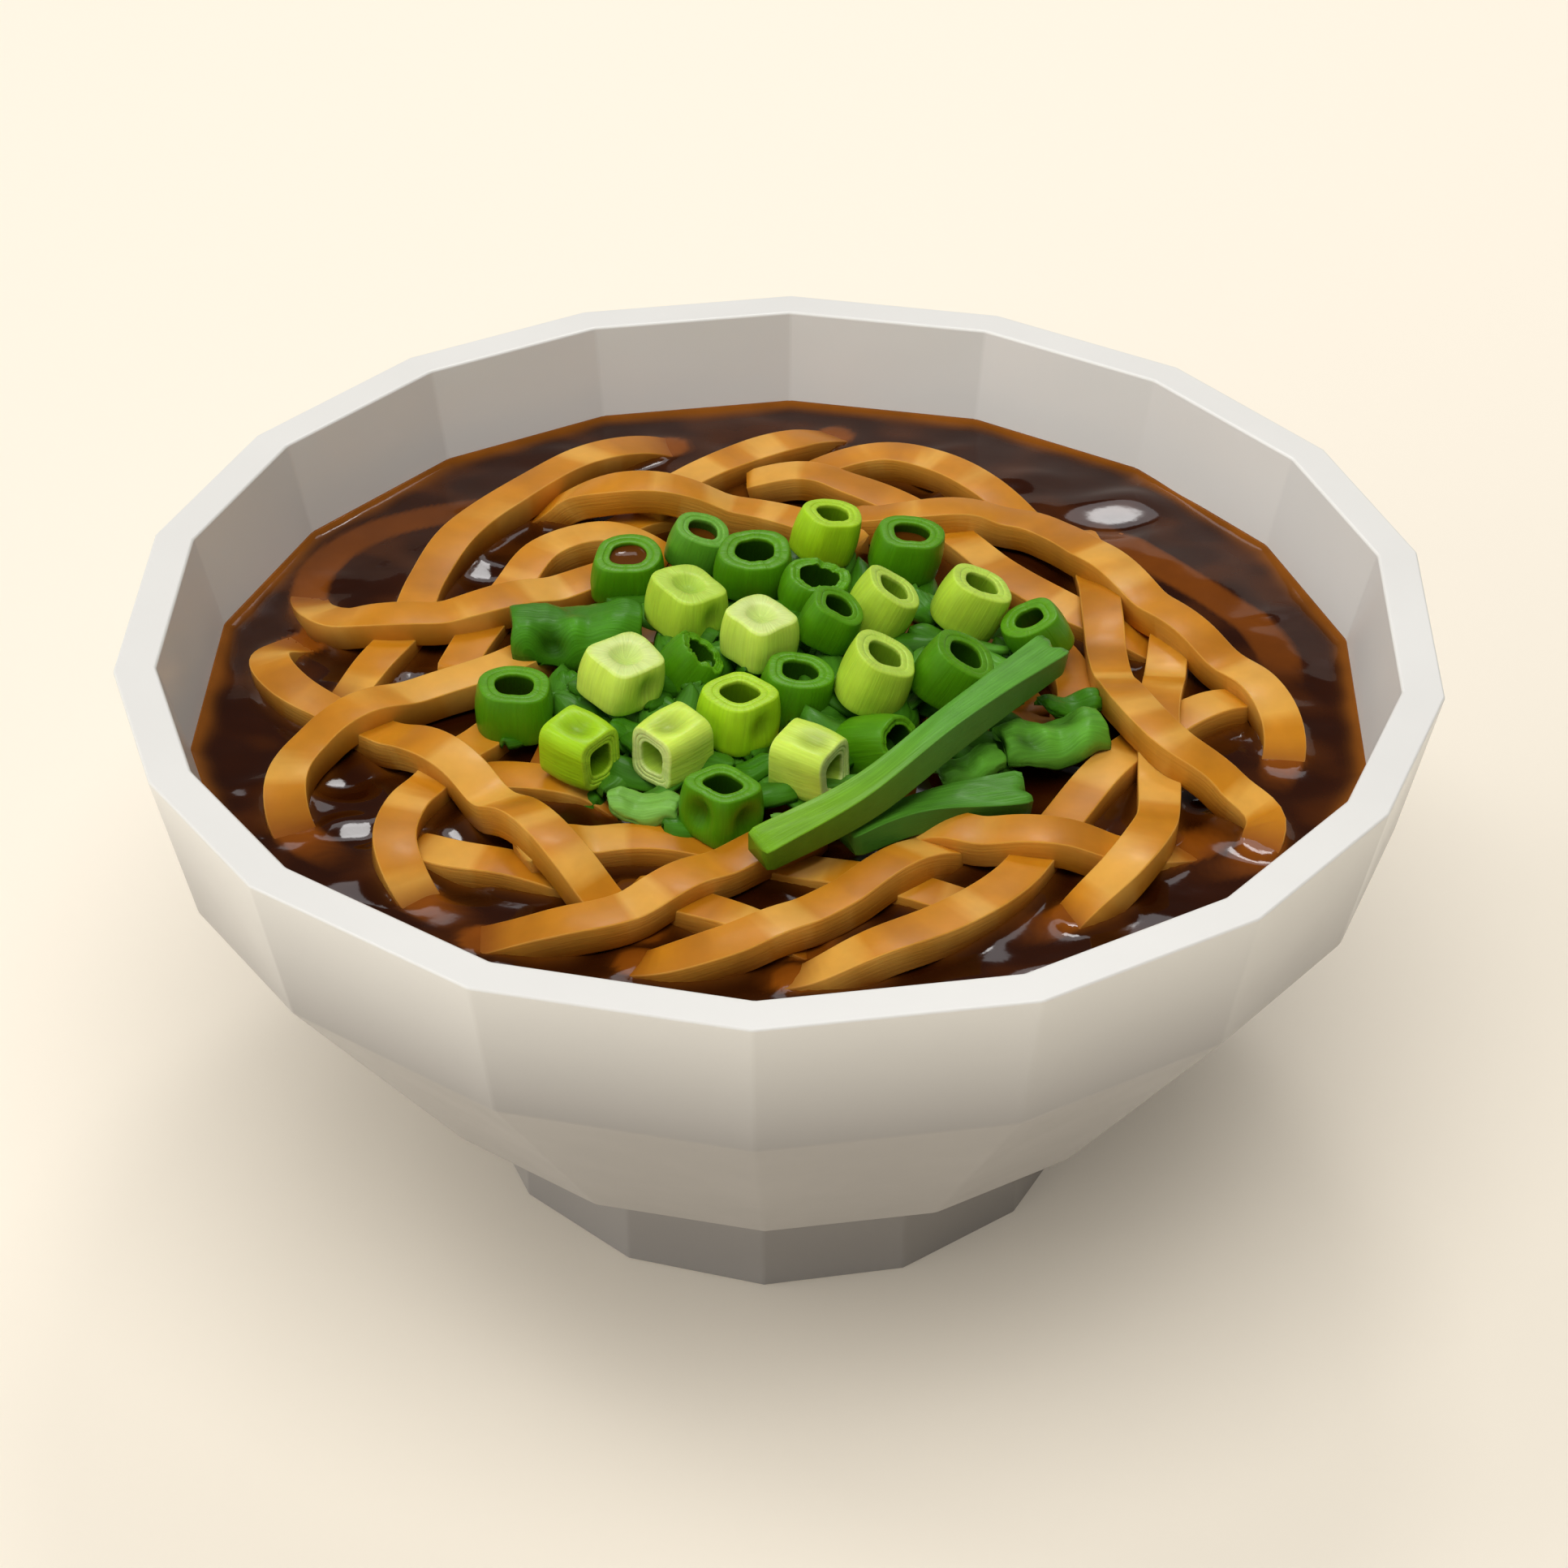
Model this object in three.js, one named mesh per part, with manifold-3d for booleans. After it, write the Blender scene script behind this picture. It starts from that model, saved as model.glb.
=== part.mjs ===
// A bowl of lor mee: thick flat noodles in dark gravy, topped with cut spring onion,
// in a white faceted bowl on a round foot. Millimetres, +Z up. The origin is on the
// surface that the foot stands on, at the middle of the bowl, and -Y is the front.

import * as THREE from 'three';
import { mergeVertices } from 'three/addons/utils/BufferGeometryUtils.js';
import Module from 'manifold-3d';

const wasm = await Module();
wasm.setup();

// ---------------------------------------------------------------- driving dimensions

const GAP = 0.3;                    // clearance between neighbouring pieces

// The bowl's body has eighteen hand-cut facets, so its corners aren't quite evenly spread.
const BODY_SIDES = 18;
const FIRST_CORNER = 88;            // degrees, measured from +X
const CORNER_NUDGE = [1, 0, 0, 0, 1, -2, 0, 2, 2, 0, -2, -4, -1, 2, 0, 1, 1, 2];
const RIM_HEIGHT = 89;
const RIM_RADIUS = 95;
const RIM_INNER_RADIUS = 89;
const BELLY = { radius: 90.3, height: 65.1 };
const BASE = { radius: 63.8, height: 26.5 };
const UNDERSIDE = { radius: 44, height: 18 };
const INNER_BELLY = { radius: 83.9, height: 67 };
const INNER_FLOOR = { radius: 58, height: 33 };

const FOOT_SIDES = 14;
const FOOT_CORNER = -93;            // degrees
const FOOT_RADIUS = 47.2;
const FOOT_TOP = 24;                // inside the body, which the foot is joined to
const FOOT_RECESS_RADIUS = 40;
const FOOT_RECESS_DEPTH = 22;

const GRAVY_LEVEL = 73.4;

// The mound of noodles under the toppings.
const MOUND_CENTRE = { x: 1, y: -4 };
const MOUND_RADIUS = { x: 43, y: 39 };
const MOUND_HEIGHT = 6.5;           // above the gravy
const MOUND_DEPTH = 12;             // below it
const MOUND_SIDES = 24;

const NOODLE_WIDTH = 6;
const NOODLE_THICKNESS = 4.2;
const NOODLE_CORNER = 1;            // how far the section's corners are cut back
const NOODLE_STEP = 5;              // between two sections
const NOODLE_REST = 3.2;            // how far a noodle's middle lies above the one it crosses
const NOODLE_REACH = 5.4;           // how near to a crossing it starts to rise
const NOODLE_BEND = 0.05;           // how sharply it comes down again, per mm
const SUNK = -2;                    // where a route asks for less, the noodle has dived

// Each noodle's route, in the order in which they lie on one another: x, y, and the height
// of its middle above the gravy where nothing under it lifts it higher.
const NOODLE_ROUTES = {
  top_short: [[-29, 40, 0], [-20, 47, 0.5], [-10, 50, -3]],
  top_mid: [[-21, 46, 1], [-16, 54, 2], [-5, 64, 2], [3, 69, 1.5], [11, 78, -4]],
  upper_mid: [[-40, 51, -3], [-34, 50, 0.5], [-27, 47, 2.5], [-17, 46, 3], [-6, 45, 3], [4, 41, 3],
    [12, 35, 3]],
  arch: [[0, 57, -1], [8, 61, 1.5], [17, 63, 2.5], [25, 60, 2.5], [32, 53, 2.5], [38, 46, 0],
    [43, 38, -4]],
  right_under: [[-5, 56, 0.5], [5, 56, 2], [15, 51, 2], [25, 42, 1.5], [34, 28, 2], [43, 19, 1.5],
    [52, 12, 0.5], [60, 8, -2.5]],
  short_steep: [[-48, 3, 0.5], [-45, 13, 1], [-41, 24, 1.5], [-36, 34, 2.5], [-28, 38, 2.5],
    [-18, 36, -1.5]],
  upper_left: [[-14, 73, -4], [-22, 70, -0.5], [-31, 62, 2.5], [-42, 50, 2.5], [-50, 38, 2.5],
    [-54, 26, 1.5], [-56, 14, 1], [-60, 4, 1], [-65, -5, -3]],
  hook: [[-24, 28, 3], [-36, 21, 2.5], [-47, 15, 2], [-59, 13, 2], [-67, 16, 1.5], [-72, 26, -2],
    [-70, 38, -3]],
  under_onion: [[-45, -21.5, -1.4], [-40, -22.5, 0.2], [-35, -23.6, 0.6], [-30, -24.8, 0.5],
    [-26, -26, -0.4], [-21, -28.5, -2.6]],
  low_left: [[-51, -37, -1.2], [-44.5, -41.5, 0.4], [-37, -44, 0.8], [-29, -46, -0.5],
    [-23, -47, -3]],
  small_loop: [[-37, -9, 2], [-42.5, -15, 1], [-47.5, -23, 0.5], [-51.8, -31, 1.5],
    [-53, -38.5, 1], [-51.2, -45, -1.4], [-47.5, -50, -3], [-41, -54, -5]],
  front_under: [[-35, -44, -3], [-28, -40, 0.5], [-19, -39, 1.5], [-9, -40, 0.5], [2, -43, -0.5],
    [13, -47, 0.5], [24, -50, -1], [33, -50, -4]],
  low_mid: [[-20, -48, 0], [-12, -53, 1], [-4, -57, 1], [3, -59, -2]],
  left_long: [[-66, 18, -3], [-73, 12, -1.5], [-75, 5, 1.5], [-71, -3, 2], [-62, -10, 1],
    [-52.5, -18, 2.5], [-43.5, -26.5, 2.5], [-36.2, -37, 2.5], [-29, -47, 2.5], [-23, -53, 0.5],
    [-15, -57, -4]],
  big_loop: [[-33, 8, 3], [-41, 1, 3], [-51, -5, 3], [-61, -12, 3], [-67, -19, 2.5], [-69, -27, 2],
    [-67, -34, -2.5]],
  front_long: [[-44, -56, -4], [-37, -58, -1], [-29, -59, 2.5], [-20, -56, 2.5], [-11, -49, 2.5],
    [-2, -42, 3], [5, -37, 3]],
  front_middle: [[-22, -61, -4], [-15, -64, 0], [-7, -63, 2.5], [2, -58, 2.5], [11, -51, 2.5],
    [18.5, -44, 1.5], [23.5, -39.5, -1.5]],
  front_right: [[-3, -65, -4], [4, -66, -1], [12, -64, 2.5], [22, -58, 2.5], [31, -49, 2],
    [38, -36, 1], [46, -23, 2], [54, -13, 1], [63, -7, 2], [73, -1, -2.5]],
  right_level: [[17, -36.5, -3.6], [22, -38, -2.8], [27, -39.8, -0.6], [34, -41, 2.5],
    [39, -41.5, 2.5], [46.5, -42, 1.5], [55, -38, -2]],
  right_upright: [[59, 18, 0], [57, 5, 1], [54, -12, -0.5], [53, -26, 2], [51, -39, 2.5],
    [46, -48, 1.5], [39, -53, -3]],
  right_wave: [[46, 42, 0.5], [48, 30, 1.5], [48, 14, 2.5], [48, 0, 3], [50, -13, 3], [55, -23, 3],
    [62, -28, 2.5], [67, -33, 0.5], [64, -40, -4]],
  outer_right: [[11, 44, 2.5], [21, 42, 2.5], [32, 43, 2.5], [40, 40, 3], [47, 30, 3], [54, 17, 3],
    [62, 6, 3], [69, -4, 2.5], [72, -14, -1], [69, -24, -5]],
};

const GREENS = { dark: 0x2c6410, mid: 0x4f8f2c, light: 0x9ac437, lime: 0x94bb27, pale: 0xcee272 };

// Spring onion cut across. at: x, y and the middle's height above the gravy. across: the
// stalk's width. tilt and lean: how far and which way its axis leans, in degrees. hole: share
// of the radius. pit: for a hole that doesn't go through, its depth as a share of the length.
// square: 0 for a round stalk, 1 for one pressed square. turn: degrees about its own axis.
const STALK = { across: 10, length: 7.4, tilt: 0, lean: 0, hole: 0.55, pit: 0, square: 0.15, turn: 0 };
const STALKS = {
  onion_back_lime: { at: [7, 30, 9.5], across: 9.4, tilt: 14, lean: 20, green: 'lime' },
  onion_back_left: { at: [-12.5, 27.5, 9], across: 9, length: 6.2, tilt: 18, green: 'mid' },
  onion_back_dark: { at: [-4, 20, 9.8], across: 11.4, length: 6.6, tilt: 4, green: 'dark' },
  onion_far_left: { at: [-23, 22, 8], across: 10.6, length: 6.2, tilt: 4, lean: -90, green: 'dark' },
  onion_back_right: { at: [19, 26, 8.9], across: 10.2, length: 7, tilt: 10, green: 'dark' },
  onion_torn: { at: [5, 13, 10.6], across: 9.6, length: 6, tilt: 14, hole: 0.65, green: 'dark' },
  onion_middle: { at: [7.2, 0.5, 12.8], across: 8.6, length: 6.6, tilt: 26, green: 'dark' },
  onion_light_middle: { at: [15, 7.5, 10.9], across: 9.4, tilt: 30, green: 'light' },
  onion_light_right: { at: [28, 10, 10], across: 9.8, tilt: 24, green: 'light' },
  onion_ragged: { at: [-13, -4.8, 8.6], across: 8.2, tilt: 38, hole: 0.65, green: 'dark' },
  onion_light_centre: { at: [13.5, -12.5, 12.2], across: 10.4, length: 8, tilt: 22, green: 'light' },
  onion_right: { at: [24.5, -10, 10.9], across: 10.4, length: 8, tilt: 30, green: 'dark' },
  onion_centre: { at: [2, -12, 9.2], tilt: 10, green: 'dark' },
  onion_left: { at: [-38, -11, 6.2], across: 10.9, length: 6.8, tilt: 2, green: 'dark' },
  onion_curled: { at: [13.8, -23.4, 7.2], across: 8.8, length: 9.6, tilt: 62, lean: -38, hole: 0.7,
    green: 'dark' },
  onion_far_right: { at: [37.5, 4.6, 8.2], across: 8.8, length: 6.4, tilt: 24, lean: -165, hole: 0.5,
    green: 'dark' },
  onion_lime_centre: { at: [-6, -19, 10.1], tilt: 6, square: 0.4, turn: 45, green: 'lime' },
  onion_front: { at: [-8, -36, 6.6], across: 9.4, length: 7.6, tilt: 6, square: 0.6, turn: 45,
    green: 'dark' },
  onion_pale_left: { at: [-13.8, 7.6, 11.3], across: 10.2, length: 7.2, tilt: 8, pit: 0.15,
    square: 0.7, turn: 40, green: 'light' },
  onion_pale_middle: { at: [-3, -2.6, 12.8], across: 9.4, length: 7, tilt: 4, pit: 0.12, square: 0.9,
    turn: 45, green: 'pale' },
  onion_pale_front_left: { at: [-22.5, -10, 10.6], across: 10, length: 7.2, tilt: 8, pit: 0.15,
    square: 0.9, turn: 40, green: 'pale' },
  onion_lime_left: { at: [-28, -24, 7.4], across: 8.6, length: 8.4, tilt: 90, lean: -38, pit: 0.7,
    square: 0.8, green: 'lime' },
  onion_pale_front: { at: [-15, -25, 8.6], across: 8.8, length: 8.4, tilt: 90, lean: -138, pit: 0.7,
    square: 0.8, green: 'pale' },
  onion_pale_right: { at: [4, -29, 8.6], across: 8.8, length: 8.6, tilt: 90, lean: -30, pit: 0.7,
    square: 0.8, green: 'pale' },
};
const STALK_SIDES = 12;

// Green leaf cut lengthways: a route as for the noodles, with the strip's width and thickness.
const STRIPS = {
  strip_long: { route: [[-3, -48.5, 8], [11, -39, 9.8], [24, -25.5, 12.2], [39, -6.5, 12]], width: 5.4,
    thickness: 4 },
  strip_short: { route: [[9, -41, 4.6], [21, -35, 5], [34, -31, 5]], width: 6, thickness: 3.4 },
};
const STRIP_STEP = 6;
const STRIP_CORNER = 0.8;

// Torn pieces of green leaf. at: as above. heading: degrees from +X. arch: how far the long
// sides hang down. wave: how far it ripples lengthways.
const LEAF_THICKNESS = 1;
const LEAF_STEPS = { along: 7, across: 4 };
const LEAVES = {
  leaf_left: { at: [-30, 7.4, 9.6], length: 19, width: 12, heading: 4, arch: 5.6, wave: 0.6,
    green: 'dark' },
  leaf_right: { at: [38.3, -18.2, 7.1], length: 15, width: 9.2, heading: 18, arch: 3.4, wave: 0.9,
    green: 'mid' },
  leaf_right_back: { at: [41.5, -8.8, 5.4], length: 9, width: 5, heading: 12, arch: 1.8, wave: 0.6,
    green: 'dark' },
  leaf_right_near: { at: [26.2, -24.7, 6], length: 10, width: 6, heading: 30, arch: 2.2, wave: 0.7,
    green: 'dark' },
  leaf_between: { at: [21.4, 13.8, 7], length: 9, width: 4.6, heading: -62, arch: 1.4, wave: 0.4,
    green: 'dark' },
  leaf_under_strip: { at: [31.5, -0.8, 6.8], length: 11, width: 5.2, heading: -38, arch: 1.4, wave: 0.4,
    green: 'dark' },
  leaf_small_left: { at: [-30.2, -6.6, 5.4], length: 9, width: 4.8, heading: 100, arch: 1.4, wave: 0.5,
    green: 'dark' },
  leaf_middle: { at: [-20.5, -17, 6.4], length: 7, width: 4.6, heading: -10, arch: 1.2, wave: 0.5,
    green: 'dark' },
  leaf_front: { at: [-4.5, -27, 6.6], length: 8, width: 4, heading: 25, arch: 1, wave: 0.4, green: 'dark' },
  bit_front_left: { at: [-19, -33.5, 5.6], length: 10, width: 6, heading: -8, arch: 2.2, wave: 0.5,
    green: 'mid' },
  bit_front: { at: [1.5, -36.5, 4.2], length: 5.6, width: 3.2, heading: -10, arch: 0.6, wave: 0.2,
    green: 'mid' },
};

const COLOURS = { bowl: 0xf4f2ee, gravy: 0x3a1606, noodles: 0xdb9f4d };

// ---------------------------------------------------------------- shared geometry

const radians = THREE.MathUtils.degToRad;

function bodyCorner(index, radius, height) {
  const turn = (360 / BODY_SIDES) * index;
  const angle = radians(FIRST_CORNER - turn + CORNER_NUDGE[index]);
  return new THREE.Vector3(radius * Math.cos(angle), radius * Math.sin(angle), height);
}

function bodyRing(radius, height) {
  const ring = [];
  for (let index = BODY_SIDES - 1; index >= 0; index -= 1) {
    ring.push(bodyCorner(index, radius, height));
  }
  return ring;
}

function evenRing(sides, radius, height, firstAngle = 0) {
  const ring = [];
  for (let index = 0; index < sides; index += 1) {
    const angle = radians(firstAngle + (360 / sides) * index);
    ring.push(new THREE.Vector3(radius * Math.cos(angle), radius * Math.sin(angle), height));
  }
  return ring;
}

// A closed body through rings of equally many corners, each anticlockwise seen from the end
// of the loft. Both ends are closed by a fan, or the last ring joins the first.
function loft(rings, joinsItself = false) {
  const sides = rings[0].length;
  const points = rings.flat();
  const faces = [];
  const bands = joinsItself ? rings.length : rings.length - 1;
  for (let band = 0; band < bands; band += 1) {
    const low = band * sides;
    const high = ((band + 1) % rings.length) * sides;
    for (let side = 0; side < sides; side += 1) {
      const next = (side + 1) % sides;
      faces.push(low + side, low + next, high + next);
      faces.push(low + side, high + next, high + side);
    }
  }
  if (!joinsItself) {
    const last = (rings.length - 1) * sides;
    const middles = [rings[0], rings[rings.length - 1]].map((ring) => (
      ring.reduce((sum, corner) => sum.add(corner), new THREE.Vector3()).divideScalar(sides)));
    const firstMiddle = points.push(middles[0]) - 1;
    const lastMiddle = points.push(middles[1]) - 1;
    for (let side = 0; side < sides; side += 1) {
      const next = (side + 1) % sides;
      faces.push(firstMiddle, next, side);
      faces.push(lastMiddle, last + side, last + next);
    }
  }
  const geometry = new THREE.BufferGeometry();
  geometry.setFromPoints(points);
  geometry.setIndex(faces);
  return geometry;
}

function toSolid(geometry) {
  const bare = geometry.clone();
  bare.deleteAttribute('normal');
  bare.deleteAttribute('uv');
  const merged = mergeVertices(bare);
  const mesh = new wasm.Mesh({
    numProp: 3,
    vertProperties: new Float32Array(merged.attributes.position.array),
    triVerts: new Uint32Array(merged.index.array),
  });
  return new wasm.Manifold(mesh);
}

function toGeometry(solid) {
  const { vertProperties, triVerts } = solid.getMesh();
  const geometry = new THREE.BufferGeometry();
  geometry.setAttribute('position', new THREE.BufferAttribute(vertProperties, 3));
  geometry.setIndex(new THREE.BufferAttribute(triVerts, 1));
  geometry.computeVertexNormals();
  return geometry;
}

function largestPiece(solid) {
  return solid.decompose().reduce((best, piece) => (piece.volume() > best.volume() ? piece : best));
}

// ---------------------------------------------------------------- bowl

function makeBowl() {
  const body = loft([
    bodyRing(UNDERSIDE.radius, UNDERSIDE.height),
    bodyRing(BASE.radius, BASE.height),
    bodyRing(BELLY.radius, BELLY.height),
    bodyRing(RIM_RADIUS, RIM_HEIGHT),
    bodyRing(RIM_INNER_RADIUS, RIM_HEIGHT),
    bodyRing(INNER_BELLY.radius, INNER_BELLY.height),
    bodyRing(INNER_FLOOR.radius, INNER_FLOOR.height),
  ]);
  const foot = loft([
    evenRing(FOOT_SIDES, FOOT_RADIUS, 0, FOOT_CORNER),
    evenRing(FOOT_SIDES, FOOT_RADIUS, FOOT_TOP, FOOT_CORNER),
  ]);
  const recess = loft([
    evenRing(FOOT_SIDES, FOOT_RECESS_RADIUS, -1, FOOT_CORNER),
    evenRing(FOOT_SIDES, FOOT_RECESS_RADIUS, FOOT_RECESS_DEPTH, FOOT_CORNER),
  ]);
  return toGeometry(toSolid(body).add(toSolid(foot)).subtract(toSolid(recess)));
}

// ---------------------------------------------------------------- noodles

// The noodles that lie under the toppings, as one low mound with an uneven outline. grow
// makes it larger all round, for the pocket that it fills in the gravy.
function makeMound(grow = 0) {
  const rings = [];
  const levels = [
    { share: 0.62, height: -MOUND_DEPTH - grow },
    { share: 0.96, height: -0.4 * MOUND_DEPTH - grow },
    { share: 1, height: 0 },
    { share: 0.8, height: 0.45 * MOUND_HEIGHT + grow },
    { share: 0.5, height: 0.8 * MOUND_HEIGHT + grow },
    { share: 0.2, height: MOUND_HEIGHT + grow },
  ];
  for (const { share, height } of levels) {
    const ring = [];
    for (let side = 0; side < MOUND_SIDES; side += 1) {
      const angle = (2 * Math.PI * side) / MOUND_SIDES;
      const uneven = 1 + 0.05 * Math.sin(3 * angle + 1) + 0.03 * Math.sin(5 * angle);
      ring.push(new THREE.Vector3(
        MOUND_CENTRE.x + (MOUND_RADIUS.x * share * uneven + grow) * Math.cos(angle),
        MOUND_CENTRE.y + (MOUND_RADIUS.y * share * uneven + grow) * Math.sin(angle),
        GRAVY_LEVEL + height,
      ));
    }
    rings.push(ring);
  }
  return toSolid(loft(rings));
}

function smoothRoute(points, step) {
  const curve = new THREE.CatmullRomCurve3(
    points.map(([x, y, height]) => new THREE.Vector3(x, y, height)), false, 'centripetal');
  const count = Math.max(2, Math.round(curve.getLength() / step));
  return curve.getSpacedPoints(count);
}

// A noodle lies on the ones before it: near a crossing it is lifted over them, and it comes
// down again to both sides as fast as a noodle bends.
function restOn(route, earlier) {
  const lifts = [];
  let along = 0;
  route.forEach((point, index) => {
    if (index > 0) {
      along += point.clone().setZ(0).distanceTo(route[index - 1].clone().setZ(0));
    }
    let lift = -Infinity;
    if (point.z > SUNK) {
      for (const under of earlier) {
        const away = Math.hypot(point.x - under.x, point.y - under.y) / NOODLE_REACH;
        if (away < 1) {
          lift = Math.max(lift, under.z + NOODLE_REST * Math.sqrt(1 - away * away));
        }
      }
    }
    lifts.push({ along, lift });
  });
  return route.map((point, index) => {
    let height = point.z;
    for (const { along: place, lift } of lifts) {
      height = Math.max(height, lift - NOODLE_BEND * (place - lifts[index].along) ** 2);
    }
    return new THREE.Vector3(point.x, point.y, height);
  });
}

// A flat band along a route: its section stays level across, its corners are cut back.
function band(route, width, thickness, corner) {
  const half = { across: width / 2, up: thickness / 2 };
  const section = [
    [half.across, -half.up + corner],
    [half.across - corner, -half.up],
    [-half.across + corner, -half.up],
    [-half.across, -half.up + corner],
    [-half.across, half.up - corner],
    [-half.across + corner, half.up],
    [half.across - corner, half.up],
    [half.across, half.up - corner],
  ];
  const rings = route.map((point, index) => {
    const before = route[Math.max(index - 1, 0)];
    const after = route[Math.min(index + 1, route.length - 1)];
    const ahead = after.clone().sub(before).normalize();
    const side = new THREE.Vector3(ahead.y, -ahead.x, 0).normalize();
    const up = side.clone().cross(ahead);
    return section.map(([across, rise]) => (
      point.clone().addScaledVector(side, across).addScaledVector(up, rise)
        .add(new THREE.Vector3(0, 0, GRAVY_LEVEL))));
  });
  return loft(rings);
}

function makeNoodles(toppings) {
  const earlier = [];
  let heap = null;
  for (const points of Object.values(NOODLE_ROUTES)) {
    const laid = restOn(smoothRoute(points, NOODLE_STEP), earlier);
    const noodle = toSolid(band(laid, NOODLE_WIDTH, NOODLE_THICKNESS, NOODLE_CORNER));
    heap = heap ? heap.add(noodle) : noodle;
    earlier.push(...restOn(smoothRoute(points, 1.5), earlier));
  }
  const sunkDepth = 20;
  const sunkPart = new THREE.BoxGeometry(2 * RIM_RADIUS, 2 * RIM_RADIUS, sunkDepth);
  sunkPart.translate(0, 0, GRAVY_LEVEL + GAP - sunkDepth / 2);
  heap = heap.subtract(toSolid(sunkPart)).add(makeMound());
  for (const topping of toppings) {
    heap = heap.subtract(topping);
  }
  return toGeometry(largestPiece(heap));
}

// ---------------------------------------------------------------- gravy

function innerRadius(height) {
  const low = height < INNER_BELLY.height ? INNER_FLOOR : INNER_BELLY;
  const high = height < INNER_BELLY.height
    ? INNER_BELLY : { radius: RIM_INNER_RADIUS, height: RIM_HEIGHT };
  const share = (height - low.height) / (high.height - low.height);
  return low.radius + share * (high.radius - low.radius);
}

function makeGravy() {
  const body = loft([
    bodyRing(INNER_FLOOR.radius - GAP, INNER_FLOOR.height + GAP),
    bodyRing(INNER_BELLY.radius - 1.2 * GAP, INNER_BELLY.height),
    bodyRing(innerRadius(GRAVY_LEVEL) - 1.2 * GAP, GRAVY_LEVEL),
  ]);
  return toGeometry(toSolid(body).subtract(makeMound(GAP)));
}

// ---------------------------------------------------------------- spring onion

// The outline of a stalk cut across, from round to nearly square.
function stalkOutline(radius, square, height) {
  const power = 2 + 3 * square;
  const ring = [];
  for (let side = 0; side < STALK_SIDES; side += 1) {
    const angle = (2 * Math.PI * side) / STALK_SIDES;
    const spread = Math.abs(Math.cos(angle)) ** power + Math.abs(Math.sin(angle)) ** power;
    const reach = radius / spread ** (1 / power);
    ring.push(new THREE.Vector3(reach * Math.cos(angle), reach * Math.sin(angle), height));
  }
  return ring;
}

function makeStalk({ across, length, hole, pit, square }) {
  const radius = across / 2;
  const half = length / 2;
  const outside = [stalkOutline(radius, square, -half), stalkOutline(radius, square, half)];
  const mouth = stalkOutline(radius * hole, square, half);
  if (pit > 0) {
    const pitFloor = stalkOutline(radius * hole * 0.7, square, half - pit * length);
    return loft([...outside, mouth, pitFloor]);
  }
  return loft([...outside, mouth, stalkOutline(radius * hole, square, -half)], true);
}

// The space that a stalk takes among the noodles, with a clearance all round.
function makeStalkRoom({ across, length, square }) {
  const radius = across / 2 + GAP;
  const half = length / 2 + GAP;
  return loft([stalkOutline(radius, square, -half), stalkOutline(radius, square, half)]);
}

function placeStalk(object, { at: [x, y, height], tilt, lean, turn }) {
  const upright = new THREE.Quaternion().setFromAxisAngle(
    new THREE.Vector3(0, 0, 1), radians(lean + turn));
  const over = new THREE.Quaternion().setFromAxisAngle(
    new THREE.Vector3(-Math.sin(radians(lean)), Math.cos(radians(lean)), 0), radians(tilt));
  object.quaternion.copy(over.multiply(upright));
  object.position.set(x, y, GRAVY_LEVEL + height);
}

// A thin wavy leaf whose long sides hang down. Both faces are split into triangles alike.
function makeLeaf({ length, width, arch, wave }, grow = 0) {
  const { along, across } = LEAF_STEPS;
  const rings = [];
  for (let step = 0; step <= along; step += 1) {
    const share = step / along;
    const x = (share - 0.5) * (length + 2 * grow);
    const ripple = wave * Math.sin(2.6 * Math.PI * (x / length + 0.5) + 0.7);
    const narrow = 1 - 0.25 * Math.abs(2 * share - 1) ** 3;
    const over = [];
    const under = [];
    for (let line = 0; line <= across; line += 1) {
      const y = (2 * (line / across) - 1) * (width / 2 + grow) * narrow;
      const z = ripple - arch * Math.abs(y / (width / 2)) ** 1.7;
      over.push(new THREE.Vector3(x, y, z + LEAF_THICKNESS / 2 + grow));
      under.unshift(new THREE.Vector3(x, y, z - LEAF_THICKNESS / 2 - grow));
    }
    rings.push([...over, ...under].reverse());
  }
  return loft(rings);
}

function placeLeaf(object, { at: [x, y, height], heading }) {
  object.rotation.z = radians(heading);
  object.position.set(x, y, GRAVY_LEVEL + height);
}

// ---------------------------------------------------------------- the whole dish

const dish = new THREE.Group();
const toppings = [];

function addMesh(name, geometry, colour, roughness) {
  const material = new THREE.MeshStandardMaterial({ color: colour, roughness, metalness: 0 });
  const mesh = new THREE.Mesh(geometry, material);
  mesh.name = name;
  dish.add(mesh);
  return mesh;
}

function takeRoom(mesh, room) {
  mesh.updateMatrixWorld();
  toppings.push(toSolid(room.applyMatrix4(mesh.matrixWorld)));
}

for (const [name, given] of Object.entries(STALKS)) {
  const stalk = { ...STALK, ...given };
  const mesh = addMesh(name, makeStalk(stalk), GREENS[stalk.green], 0.4);
  placeStalk(mesh, stalk);
  takeRoom(mesh, makeStalkRoom(stalk));
}

for (const [name, leaf] of Object.entries(LEAVES)) {
  const mesh = addMesh(name, makeLeaf(leaf), GREENS[leaf.green], 0.4);
  placeLeaf(mesh, leaf);
  takeRoom(mesh, makeLeaf(leaf, 2 * GAP));
}

for (const [name, { route, width, thickness }] of Object.entries(STRIPS)) {
  const path = smoothRoute(route, STRIP_STEP);
  const mesh = addMesh(name, band(path, width, thickness, STRIP_CORNER), GREENS.mid, 0.4);
  takeRoom(mesh, band(path, width + 2 * GAP, thickness + 2 * GAP, STRIP_CORNER));
}

addMesh('noodles', makeNoodles(toppings), COLOURS.noodles, 0.35);
addMesh('gravy', makeGravy(), COLOURS.gravy, 0.15);
addMesh('bowl', makeBowl(), COLOURS.bowl, 0.3);

export default dish;
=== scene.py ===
"""Looks of a bowl of lor mee: flat noodles in dark gravy with cut spring onion on top."""

import math
import random

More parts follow.
